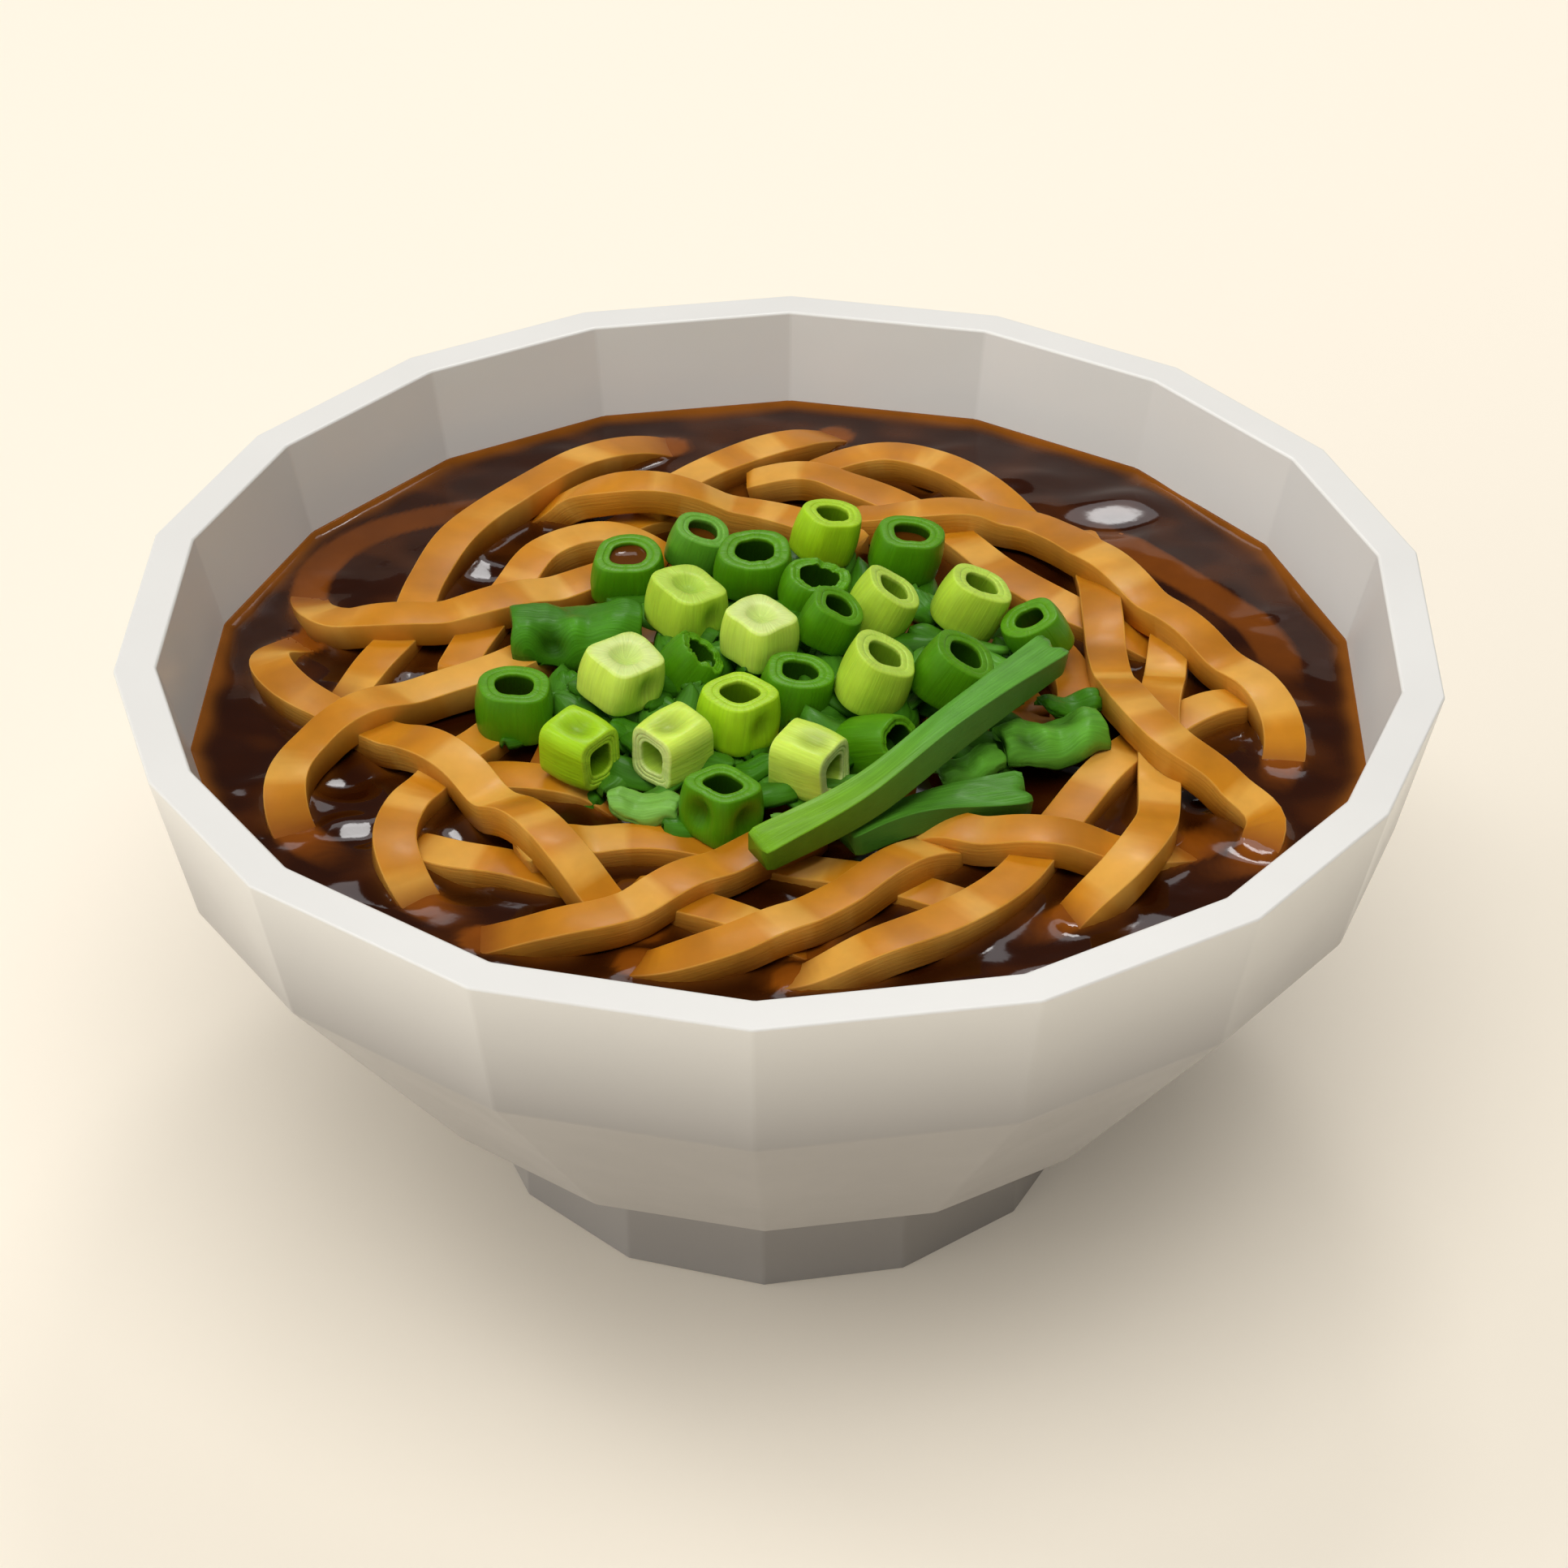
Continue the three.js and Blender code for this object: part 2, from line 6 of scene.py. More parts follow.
import bpy
import numpy as np
from mathutils import Matrix, Quaternion, Vector, noise


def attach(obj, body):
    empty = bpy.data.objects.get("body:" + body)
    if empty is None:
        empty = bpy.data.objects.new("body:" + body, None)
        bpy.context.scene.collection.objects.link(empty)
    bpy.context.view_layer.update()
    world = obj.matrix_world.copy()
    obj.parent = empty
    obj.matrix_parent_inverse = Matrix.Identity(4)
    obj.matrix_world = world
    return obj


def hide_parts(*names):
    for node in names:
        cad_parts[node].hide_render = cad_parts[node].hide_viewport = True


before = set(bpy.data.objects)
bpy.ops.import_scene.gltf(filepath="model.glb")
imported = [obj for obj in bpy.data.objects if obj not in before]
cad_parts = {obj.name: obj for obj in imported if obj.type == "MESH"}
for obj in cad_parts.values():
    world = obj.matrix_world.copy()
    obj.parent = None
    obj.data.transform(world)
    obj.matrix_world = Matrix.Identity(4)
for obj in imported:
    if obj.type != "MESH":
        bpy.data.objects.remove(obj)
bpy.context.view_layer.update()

MM = 0.001

# ------------------------------------------------------------------ sizes shared with the solids

BODY_SIDES = 18
FIRST_CORNER = 88
CORNER_NUDGE = [1, 0, 0, 0, 1, -2, 0, 2, 2, 0, -2, -4, -1, 2, 0, 1, 1, 2]
RIM_HEIGHT = 89
RIM_INNER_RADIUS = 89
INNER_BELLY = (83.9, 67)            # radius, height
INNER_FLOOR = (58, 33)
BODY_RINGS = [(44, 18), (63.8, 26.5), (90.3, 65.1), (95, RIM_HEIGHT), (RIM_INNER_RADIUS, RIM_HEIGHT),
              INNER_BELLY, INNER_FLOOR]
OUTSIDE_RINGS = 3                   # the first ones, below the rim
FOOT_SIDES = 14
FOOT_CORNER = -93
FOOT_RINGS = [(47.2, 24), (47.2, 0), (40, 0), (40, 22)]
GRAVY_LEVEL = 73.4

MOUND_CENTRE = (1, -4)
MOUND_RADIUS = (43, 39)
MOUND_HEIGHT = 6.5

NOODLE_WIDTH = 6
NOODLE_THICKNESS = 4.2
NOODLE_REST = 3.2                   # how high a noodle's middle lies above one that it crosses
NOODLE_REACH = 5.4                  # how far beside another noodle it is still held up
NOODLE_BEND = 0.05                  # how fast it can bend down from there
NOODLE_STEP = 1.2
NOODLE_ROLL = 12                    # degrees, to either side
BAND_CORNER = 0.22                  # corner radius of a noodle's and a strip's section
BAND_CORNER_POINTS = 4
# The upper edges get a painted highlight.
LIT_UPPER_EDGES = [8, 9, 10, 13, 14, 15]   # points of a noodle's section round its upper corners
SUNK = -2

# Each noodle's route in the order in which they lie on one another: x, y and the height of its
# middle above the gravy. The routes go on into the gravy where the solids stop at its surface.
NOODLE_ROUTES = {
    "top_short": [(-29, 40, 0), (-20, 47, 0.5), (-10, 50, -3)],
    "top_mid": [(-21, 46, 1), (-16, 54, 2), (-5, 64, 2), (3, 69, 1.5), (11, 78, -4)],
    "upper_mid": [
        (-40, 51, -3), (-34, 50, 0.5), (-27, 47, 2.5), (-17, 46, 3), (-6, 45, 3), (4, 41, 3),
        (12, 35, 3)],
    "arch": [
        (0, 57, -1), (8, 61, 1.5), (17, 63, 2.5), (25, 60, 2.5), (32, 53, 2.5), (38, 46, 0),
        (43, 38, -4)],
    "right_under": [
        (-5, 56, 0.5), (5, 56, 2), (15, 51, 2), (25, 42, 1.5), (34, 28, 2), (43, 19, 1.5), (52, 12, 0.5),
        (60, 8, -2.5)],
    "short_steep": [
        (-48, 3, 0.5), (-45, 13, 1), (-41, 24, 1.5), (-36, 34, 2.5), (-28, 38, 2.5), (-18, 36, -1.5)],
    "upper_left": [
        (-14, 73, -4), (-22, 70, -0.5), (-31, 62, 2.5), (-42, 50, 2.5), (-50, 38, 2.5), (-54, 26, 1.5),
        (-56, 14, 1), (-60, 4, 1), (-65, -5, -3)],
    "hook": [
        (-24, 28, 3), (-36, 21, 2.5), (-47, 15, 2), (-59, 13, 2), (-67, 16, 1.5), (-72, 26, -2),
        (-70, 38, -3), (-62, 47, -3.5), (-50, 52, -4), (-40, 54, -4)],
    "under_onion": [
        (-45, -21.5, -1.4), (-40, -22.5, 0.2), (-35, -23.6, 0.6), (-30, -24.8, 0.5), (-26, -26, -0.4),
        (-21, -28.5, -2.6)],
    "low_left": [
        (-51, -37, -1.2), (-44.5, -41.5, 0.4), (-37, -44, 0.8), (-29, -46, -0.5), (-23, -47, -3)],
    "small_loop": [
        (-37, -9, 2), (-42.5, -15, 1), (-47.5, -23, 0.5), (-51.8, -31, 1.5), (-53, -38.5, 1),
        (-51.2, -45, -1.4), (-47.5, -50, -3), (-41, -54, -5)],
    "front_under": [
        (-35, -44, -3), (-28, -40, 0.5), (-19, -39, 1.5), (-9, -40, 0.5), (2, -43, -0.5), (13, -47, 0.5),
        (24, -50, -1), (33, -50, -4)],
    "low_mid": [(-20, -48, 0), (-12, -53, 1), (-4, -57, 1), (3, -59, -2), (10, -59, -4)],
    "left_long": [
        (-66, 18, -3), (-73, 12, -1.5), (-75, 5, 1.5), (-71, -3, 2), (-62, -10, 1), (-52.5, -18, 2.5),
        (-43.5, -26.5, 2.5), (-36.2, -37, 2.5), (-29, -47, 2.5), (-23, -53, 0.5), (-15, -57, -4)],
    "big_loop": [
        (-33, 8, 3), (-41, 1, 3), (-51, -5, 3), (-61, -12, 3), (-67, -19, 2.5), (-69, -27, 2),
        (-67, -34, -2.5), (-59, -41, -5)],
    "front_long": [
        (-44, -56, -4), (-37, -58, -1), (-29, -59, 2.5), (-20, -56, 2.5), (-11, -49, 2.5), (-2, -42, 3),
        (5, -37, 3)],
    "front_middle": [
        (-22, -61, -4), (-15, -64, 0), (-7, -63, 2.5), (2, -58, 2.5), (11, -51, 2.5), (18.5, -44, 1.5),
        (23.5, -39.5, -1.5)],
    "front_right": [
        (-3, -65, -4), (4, -66, -1), (12, -64, 2.5), (22, -58, 2.5), (31, -49, 2), (38, -36, 1),
        (46, -23, 2), (54, -13, 1), (63, -7, 2), (73, -1, -2.5)],
    "right_level": [
        (17, -36.5, -3.6), (22, -38, -2.8), (27, -39.8, -0.6), (34, -41, 2.5), (39, -41.5, 2.5),
        (46.5, -42, 1.5), (55, -38, -2), (64, -32, -4)],
    "right_upright": [
        (59, 18, 0), (57, 5, 1), (54, -12, -0.5), (53, -26, 2), (51, -39, 2.5), (46, -48, 1.5),
        (39, -53, -3), (30, -57, -5)],
    "right_wave": [
        (46, 42, 0.5), (48, 30, 1.5), (48, 14, 2.5), (48, 0, 3), (50, -13, 3), (55, -23, 3),
        (62, -28, 2.5), (67, -33, 0.5), (64, -40, -4), (56, -43, -5)],
    "outer_right": [
        (11, 44, 2.5), (21, 42, 2.5), (32, 43, 2.5), (40, 40, 3), (47, 30, 3), (54, 17, 3), (62, 6, 3),
        (69, -4, 2.5), (72, -14, -1), (69, -24, -5)],
    "sunk_right": [
        (48, 49, -3.4), (53.8, 42.1, -2.7), (59.3, 35, -2.6), (63.3, 30.4, -2.6), (67.3, 25.3, -2.7),
        (71.5, 19, -3), (74.1, 10.2, -3.4), (74.3, 1.6, -5)],
}

# Lumps of starch in the gravy that catch the light: x, y and half length in mm.
GRAVY_LUMPS = [(-50.7, 53, 2.4), (-53, 6.5, 2.2), (-66.5, 2.8, 2.4), (-50.3, -7.1, 2),
               (-37.9, -14.5, 2.6), (-30.2, -29.7, 3.2), (14.7, -52.3, 3.6), (27.1, -40.5, 2),
               (44, -43.2, 2.6), (70.1, -8.9, 2.4), (63, 2, 2), (54, 18.9, 2.2), (26.1, 56, 3.4),
               (1.7, 60, 4.2), (74, 22, 4), (24, 70, 6), (-74, -22, 4), (38, -62, 7), (2, -75, 8)]
LUMP_HEIGHT = 0.34
# Broad places where the gravy's skin slopes towards the front: x, y, radius in mm and rise per mm.
GRAVY_SLOPES = [(-67, -27, 7, 0.1), (-56, -47, 6, 0.09), (20, -70, 9, 0.1), (-14, -74, 8, 0.1),
                (50, -55, 8, 0.11), (66, -38, 6, 0.1), (40, 60, 6, 0.1), (76, 2, 6, 0.09),
                (-70, 30, 5, 0.1), (-6, 76, 7, 0.1), (-38, 68, 6, 0.1), (-30, -35, 4, 0.1),
                (58, 14, 4, 0.1)]
# Smooth tilted places that catch the light whole: x, y, radius, rise per mm along x and along y.
GRAVY_GLINTS = [(24.6, 59.3, 3.4, -0.02, 0.25), (53.6, 51.2, 9, 0.04, 0.24),
                (-47.7, 34.3, 6, -0.16, 0.23), (-66.2, 16.2, 3.4, -0.2, 0.21),
                (-57.1, -17.1, 6, -0.18, 0.18), (-64.6, -20.4, 6, -0.19, 0.18),
                (60.6, -26.6, 3.4, 0.06, 0.17), (-42.5, -33, 6, -0.15, 0.17),
                (-58.6, -33, 5.2, -0.18, 0.17), (-45.4, -45, 5, -0.16, 0.15)]
GHOST_DEPTH = 2.4                   # in mm, over which what is sunk fades to a third
WALL_GAP = 0.25                     # how far the surface reaches into the wall

SOAKED_COUNT = 34
SOAKED_STEP = 1.4
# Short soaked lengths in gaps at the edge of the mound, also brown as painted shade: x, y and height above
# the gravy.
SOAKED_LENGTHS = [[(38, 14, 0.3), (41.5, 6, 0.8), (43, -1, 0.8), (42.5, -9, 0.2), (41, -16, -1)]]

# Spring onion cut across, as in the solids, with its middle at x, y and a height above the
# gravy. tilt leans it over towards lean, in degrees. hole and pit are shares of the radius and
# of the length. dents are (degrees round the stalk, share of the length, depth in mm) of the
# hollows pressed into the side. film is gravy that stands in the hole, and how far down it
# starts. ragged is how deep the top edge is torn, in mm.
STALK = {"across": 10, "length": 7.4, "tilt": 0, "lean": 0, "hole": 0.55, "pit": 0, "square": 0.15,
         "turn": 0, "dents": (), "film": None, "ragged": 0.12}


def stalk(green, at, **rest):
    """What describes one stalk, with STALK for all that isn't given."""
    return {**STALK, "green": green, "at": at, **rest}


STALKS = {
    "onion_back_lime": stalk("lime", (7, 30, 9.5), across=9.4, tilt=14, lean=20),
    "onion_back_left": stalk("mid", (-12.5, 27.5, 9), across=9, length=6.2, tilt=18, film=1.6),
    "onion_back_dark": stalk("dark", (-4, 20, 9.8), across=11.4, length=6.6, tilt=4, ragged=0.3),
    "onion_far_left": stalk("dark", (-23, 22, 8), across=10.6, length=6.2, tilt=4, lean=-90, film=0.5),
    "onion_back_right": stalk("dark", (19, 26, 8.9), across=10.2, length=7, tilt=10, film=1.8),
    "onion_torn": stalk("dark", (5, 13, 10.6), across=9.6, length=6, tilt=14, hole=0.65, ragged=1.3),
    "onion_middle": stalk("dark", (7.2, 0.5, 12.8), across=8.6, length=6.6, tilt=26),
    "onion_light_middle": stalk("light", (15, 7.5, 10.9), across=9.4, tilt=30),
    "onion_light_right": stalk("light", (28, 10, 10), across=9.8, tilt=24),
    "onion_ragged": stalk("dark", (-13, -4.8, 8.6), across=8.2, tilt=38, hole=0.65, ragged=1.1),
    "onion_light_centre": stalk("light", (13.5, -12.5, 12.2), across=10.4, length=8, tilt=22),
    "onion_right": stalk("dark", (24.5, -10, 10.9), across=10.4, length=8, tilt=30),
    "onion_centre": stalk("dark", (2, -12, 9.2), tilt=10),
    "onion_left": stalk("dark", (-38, -11, 6.2), across=10.9, length=6.8, tilt=2, film=4),
    "onion_curled": stalk(
        "dark", (13.8, -23.4, 7.2), across=8.8, length=9.6, tilt=62, lean=-38, hole=0.7, ragged=1),
    "onion_far_right": stalk(
        "dark", (37.5, 4.6, 8.2), across=8.8, length=6.4, tilt=24, lean=-165, hole=0.5),
    "onion_lime_centre": stalk(
        "lime", (-6, -19, 10.1), tilt=6, square=0.4, turn=45, dents=((-90, 0.5, 0.8),)),
    "onion_front": stalk(
        "dark", (-8, -36, 6.6), across=9.4, length=7.6, tilt=6, square=0.6, turn=45,
        dents=((180, 0.55, 1.5), (-90, 0.5, 1.1))),
    "onion_pale_left": stalk(
        "light", (-13.8, 7.6, 11.3), across=10.2, length=7.2, tilt=8, pit=0.15, square=0.7, turn=40,
        dents=((-82, 0.5, 0.7),)),
    "onion_pale_middle": stalk(
        "pale", (-3, -2.6, 12.8), across=9.4, length=7, tilt=4, pit=0.12, square=0.9, turn=45),
    "onion_pale_front_left": stalk(
        "pale", (-22.5, -10, 10.6), across=10, length=7.2, tilt=8, pit=0.15, square=0.9, turn=40,
        dents=((-80, 0.5, 0.8),)),
    "onion_lime_left": stalk(
        "lime", (-28, -24, 7.4), across=8.6, length=8.4, tilt=90, lean=-38, pit=0.7, square=0.8,
        dents=((180, 0.5, 1.3),)),
    "onion_pale_front": stalk(
        "pale", (-15, -25, 8.6), across=8.8, length=8.4, tilt=90, lean=-138, pit=0.7, square=0.8,
        dents=((180, 0.55, 1.2),)),
    "onion_pale_right": stalk(
        "pale", (4, -29, 8.6), across=8.8, length=8.6, tilt=90, lean=-30, pit=0.7, square=0.8,
        dents=((180, 0.6, 0.5),)),
}

STRIP_CORNER_POINTS = 6
STRIP_TOP_POINTS = 11
STRIP_ROLL = 16                     # degrees, to either side
# Strips of leaf, as in the solids: the route of the middle as x, y and height above the gravy.
STRIPS = {
    "strip_long": {"route": [(-3, -48.5, 8), (11, -39, 9.8), (24, -25.5, 12.2), (39, -6.5, 12)],
                   "width": 5.4, "thickness": 4},
    "strip_short": {"route": [(9, -41, 4.6), (21, -35, 5), (34, -31, 5)], "width": 6, "thickness": 3.4},
}

# Leaves as in the solids. curl is how far the long edges turn down, in degrees. slant is how much
# further in the near edge is cut, and rumple how deep the leaf is crumpled, in mm. hollows are
# (share of the length, share of the half width, size, depth); a ridge has a depth below 0.
LEAF = {"curl": 82, "slant": 0, "rumple": 0.22, "hollows": ()}


def leaf(green, at, heading, **rest):
    """What describes one leaf, with LEAF for all that isn't given."""
    return {**LEAF, "green": green, "at": at, "heading": heading, **rest}


LEAVES = {
    "leaf_left": leaf(
        "dark", (-30, 7.4, 9.6), 4, length=19, width=12, arch=5.6, wave=0.6, curl=105, rumple=0.35,
        hollows=((0.3, -0.62, 1.9, 2), (0.08, -0.5, 2.4, -0.7), (0.48, -0.3, 1.7, -1.3),
                 (0.72, -0.45, 3, -0.8), (0.45, 0.25, 1.6, 0.6))),
    "leaf_right": leaf(
        "mid", (38.3, -18.2, 7.1), 18, length=15, width=9.2, arch=3.4, wave=0.9, curl=100, rumple=0.4,
        hollows=((0.2, -0.35, 1.8, 1.3), (0.42, -0.1, 1.5, -1), (0.7, 0.3, 1.7, 1.2),
                 (0.72, -0.45, 2, -0.8))),
    "leaf_right_back": leaf(
        "dark", (41.5, -8.8, 5.4), 12, length=9, width=5, arch=1.8, wave=0.6, curl=100, slant=2,
        rumple=0.4),
    "leaf_right_near": leaf(
        "mid", (26.2, -24.7, 6), 30, length=10, width=6, arch=2.2, wave=0.7, curl=100, rumple=0.4,
        hollows=((0.6, -0.2, 1.4, -0.9),)),
    "leaf_between": leaf("dark", (21.4, 13.8, 7), -62, length=9, width=4.6, arch=1.4, wave=0.4),
    "leaf_under_strip": leaf("mid", (31.5, -0.8, 6.8), -38, length=11, width=5.2, arch=1.4, wave=0.4),
    "leaf_small_left": leaf("dark", (-30.2, -6.6, 5.4), 100, length=9, width=4.8, arch=1.4, wave=0.5),
    "leaf_middle": leaf("dark", (-20.5, -17, 6.4), -10, length=7, width=4.6, arch=1.2, wave=0.5),
    "leaf_front": leaf("dark", (-4.5, -27, 6.6), 25, length=8, width=4, arch=1, wave=0.4),
    "bit_front_left": leaf(
        "glassy", (-19, -33.5, 5.6), -8, length=10, width=6, arch=2.2, wave=0.5, curl=120, slant=1.5,
        rumple=0.5),
    "bit_front": leaf("glassy", (1.5, -36.5, 4.2), -10, length=5.6, width=3.2, arch=0.6, wave=0.2),
}

# ------------------------------------------------------------------ colours


def linear(red, green, blue):
    """An sRGB colour, 0 to 255, as linear values."""
    parts = []
    for value in (red, green, blue):
        share = value / 255
        parts.append(share / 12.92 if share < 0.04045 else ((share + 0.055) / 1.055) ** 2.4)
    return tuple(parts)


# Of the outside of the stalk, the cut face and the inside of the hole, which is a darker green as painted
# shade.
STALK_COLOURS = {
    "dark": (linear(78, 140, 8), linear(92, 152, 20), linear(42, 84, 4)),
    "mid": (linear(90, 152, 34), linear(112, 172, 60), linear(56, 104, 20)),
    "light": (linear(182, 216, 56), linear(192, 222, 88), linear(136, 176, 36)),
    "lime": (linear(166, 212, 22), linear(176, 214, 52), linear(112, 154, 13)),
    "pale": (linear(208, 236, 80), linear(218, 234, 144), linear(176, 208, 72)),
}
LEAF_COLOURS = {"dark": linear(58, 114, 16), "mid": linear(84, 144, 40), "glassy": linear(112, 164, 66)}
STRIP_START = linear(116, 168, 26)
STRIP_END = linear(94, 158, 52)

NOODLE_LIGHT = linear(201, 130, 24)
NOODLE_PALE = linear(226, 168, 72)
# Brown of noodle soaked in gravy, also used for painted shade on the noodles.
NOODLE_SOAKED_SHADED = linear(130, 65, 6)
GRAVY_DARK = linear(44, 15, 2)
GRAVY_AMBER = linear(140, 80, 20)
GRAVY_OVER_NOODLE = linear(126, 65, 10)
GRAVY_FILM = linear(92, 50, 8)
BOWL_WHITE = linear(240, 238, 233)
# The outside is painted greyer than the glaze inside, as painted shade.
BOWL_OUTSIDE_SHADED = linear(162, 158, 155)
FLOOR_CREAM = linear(238, 229, 213)
FLOOR_GLOW = 0.14                   # stands in for light that a studio floor gets from all round
SPOTS = 0.06                        # how much small patches on food differ in brightness

# ------------------------------------------------------------------ mesh helpers


def smooth_route(points, step):
    """Points about every step mm along a centripetal Catmull-Rom curve through the given ones."""
    given = np.array(points, dtype=float)
    padded = np.vstack([2 * given[0] - given[1], given, 2 * given[-1] - given[-2]])
    route = []
    for index in range(1, len(padded) - 2):
        p0, p1, p2, p3 = padded[index - 1:index + 3]
        t1 = np.linalg.norm(p1 - p0) ** 0.5
        t2 = t1 + np.linalg.norm(p2 - p1) ** 0.5
        t3 = t2 + np.linalg.norm(p3 - p2) ** 0.5
        count = max(2, round(np.linalg.norm(p2 - p1) / step))
        for part in range(count):
            t = t1 + (t2 - t1) * part / count
            a1 = (t1 - t) / t1 * p0 + t / t1 * p1
            a2 = (t2 - t) / (t2 - t1) * p1 + (t - t1) / (t2 - t1) * p2
            a3 = (t3 - t) / (t3 - t2) * p2 + (t - t2) / (t3 - t2) * p3
            b1 = (t2 - t) / t2 * a1 + t / t2 * a2
            b2 = (t3 - t) / (t3 - t1) * a2 + (t - t1) / (t3 - t1) * a3
            route.append((t2 - t) / (t2 - t1) * b1 + (t - t1) / (t2 - t1) * b2)
    route.append(given[-1])
    return np.array(route)


def way_along(route):
    """How far along a route each of its points lies, in mm."""
    steps = np.linalg.norm(np.diff(route, axis=0), axis=1)
    return np.concatenate([[0], np.cumsum(steps)])


def rest_on(route, earlier):
    """Lifts a noodle over the ones before it, as the solids' noodles are."""
    if not len(earlier):
        return route
    steps = np.hypot(*np.diff(route[:, :2], axis=0).T)
    along = np.concatenate([[0], np.cumsum(steps)])
    away = np.hypot(route[:, None, 0] - earlier[None, :, 0], route[:, None, 1] - earlier[None, :, 1])
    away = away / NOODLE_REACH
    over = earlier[None, :, 2] + NOODLE_REST * np.sqrt(np.clip(1 - away ** 2, 0, 1))
    lift = np.where((away < 1) & (route[:, 2] > SUNK)[:, None], over, -99).max(axis=1)
    held = (lift[None, :] - NOODLE_BEND * (along[:, None] - along[None, :]) ** 2).max(axis=1)
    laid = route.copy()
    laid[:, 2] = np.maximum(route[:, 2], held)
    for _ in range(3):
        laid[1:-1, 2] = (laid[:-2, 2] + 2 * laid[1:-1, 2] + laid[2:, 2]) / 4
    return laid


class Shape:
    """Points in mm, faces and per-point colours, gathered into one mesh."""

    def __init__(self):
        self.points = []
        self.faces = []
        self.colours = []
        self.grain = []
        self.slots = []

    def add_loft(self, rings, colours, grains, joins_itself=False, slot=0):
        """rings, colours and grains are arrays of rings x sides x 3."""
        count, sides = rings.shape[:2]
        start = len(self.points)
        self.points.extend(rings.reshape(-1, 3).tolist())
        self.colours.extend(colours.reshape(-1, 3).tolist())
        self.grain.extend(grains.reshape(-1, 3).tolist())
        bands = count if joins_itself else count - 1
        for band in range(bands):
            low = start + band * sides
            high = start + ((band + 1) % count) * sides
            for side in range(sides):
                after = (side + 1) % sides
                self.faces.append((low + side, low + after, high + after, high + side))
                self.slots.append(slot)
        if not joins_itself:
            for ring, order in ((0, -1), (count - 1, 1)):
                middle = len(self.points)
                self.points.append(rings[ring].mean(axis=0).tolist())
                self.colours.append(colours[ring].mean(axis=0).tolist())
                self.grain.append(grains[ring].mean(axis=0).tolist())
                base = start + ring * sides
                for side in range(sides):
                    pair = (base + side, base + (side + 1) % sides)
                    self.faces.append((middle,) + pair[::order])
                    self.slots.append(slot)

    def add_plain_loft(self, rings, colour, slot=0):
        """Rings in one colour, with their own places as the grain."""
        self.add_loft(rings, np.broadcast_to(colour, rings.shape), rings, slot=slot)

    def set_down(self, at, turn):
        """Turns the shape by a matrix and sets it at x, y and a height above the gravy."""
        x, y, height = at
        place = Matrix.Translation((x, y, GRAVY_LEVEL + height)) @ turn
        self.points = [tuple(place @ Vector(point)) for point in self.points]

    def make(self, name, materials, smooth=True):
        """The object, in metres."""
        mesh = bpy.data.meshes.new(name)
        mesh.from_pydata((np.array(self.points) * MM).tolist(), [], self.faces)
        mesh.update()
        tone = mesh.color_attributes.new("tone", "FLOAT_COLOR", "POINT")
        flat = np.ones((len(self.points), 4), dtype=np.float32)
        flat[:, :3] = np.array(self.colours)
        tone.data.foreach_set("color", flat.ravel())
        grain = mesh.attributes.new("grain", "FLOAT_VECTOR", "POINT")
        grain.data.foreach_set("vector", np.array(self.grain, dtype=np.float32).ravel())
        for material in materials:
            mesh.materials.append(material)
        mesh.polygons.foreach_set("use_smooth", [smooth] * len(self.faces))
        mesh.polygons.foreach_set("material_index", self.slots)
        made = bpy.data.objects.new(name, mesh)
        bpy.context.scene.collection.objects.link(made)
        return made


def mix(first, second, share):
    """Blends two colours, or arrays of them, by a number or an array of shares."""
    share = np.asarray(share)[..., None]
    return np.asarray(first) * (1 - share) + np.asarray(second) * share


def smooth_step(low, high, value):
    """From 0 at low to 1 at high, with soft ends."""
    share = np.clip((np.asarray(value, dtype=float) - low) / (high - low), 0, 1)
    return share * share * (3 - 2 * share)


def band_grain(rings, around, along, third):
    """Grain that runs along a band, with its own third coordinate."""
    grains = np.zeros_like(rings)
    grains[:, :, 0] = around[None, :]
    grains[:, :, 1] = along[:, None]
    grains[:, :, 2] = third
    return grains


def wobble(x, y, z, seed):
    """Smooth noise from -1 to 1."""
    return noise.noise(Vector((x + 17.3 * seed, y - 9.1 * seed, z + 5.7 * seed)))


# ------------------------------------------------------------------ materials


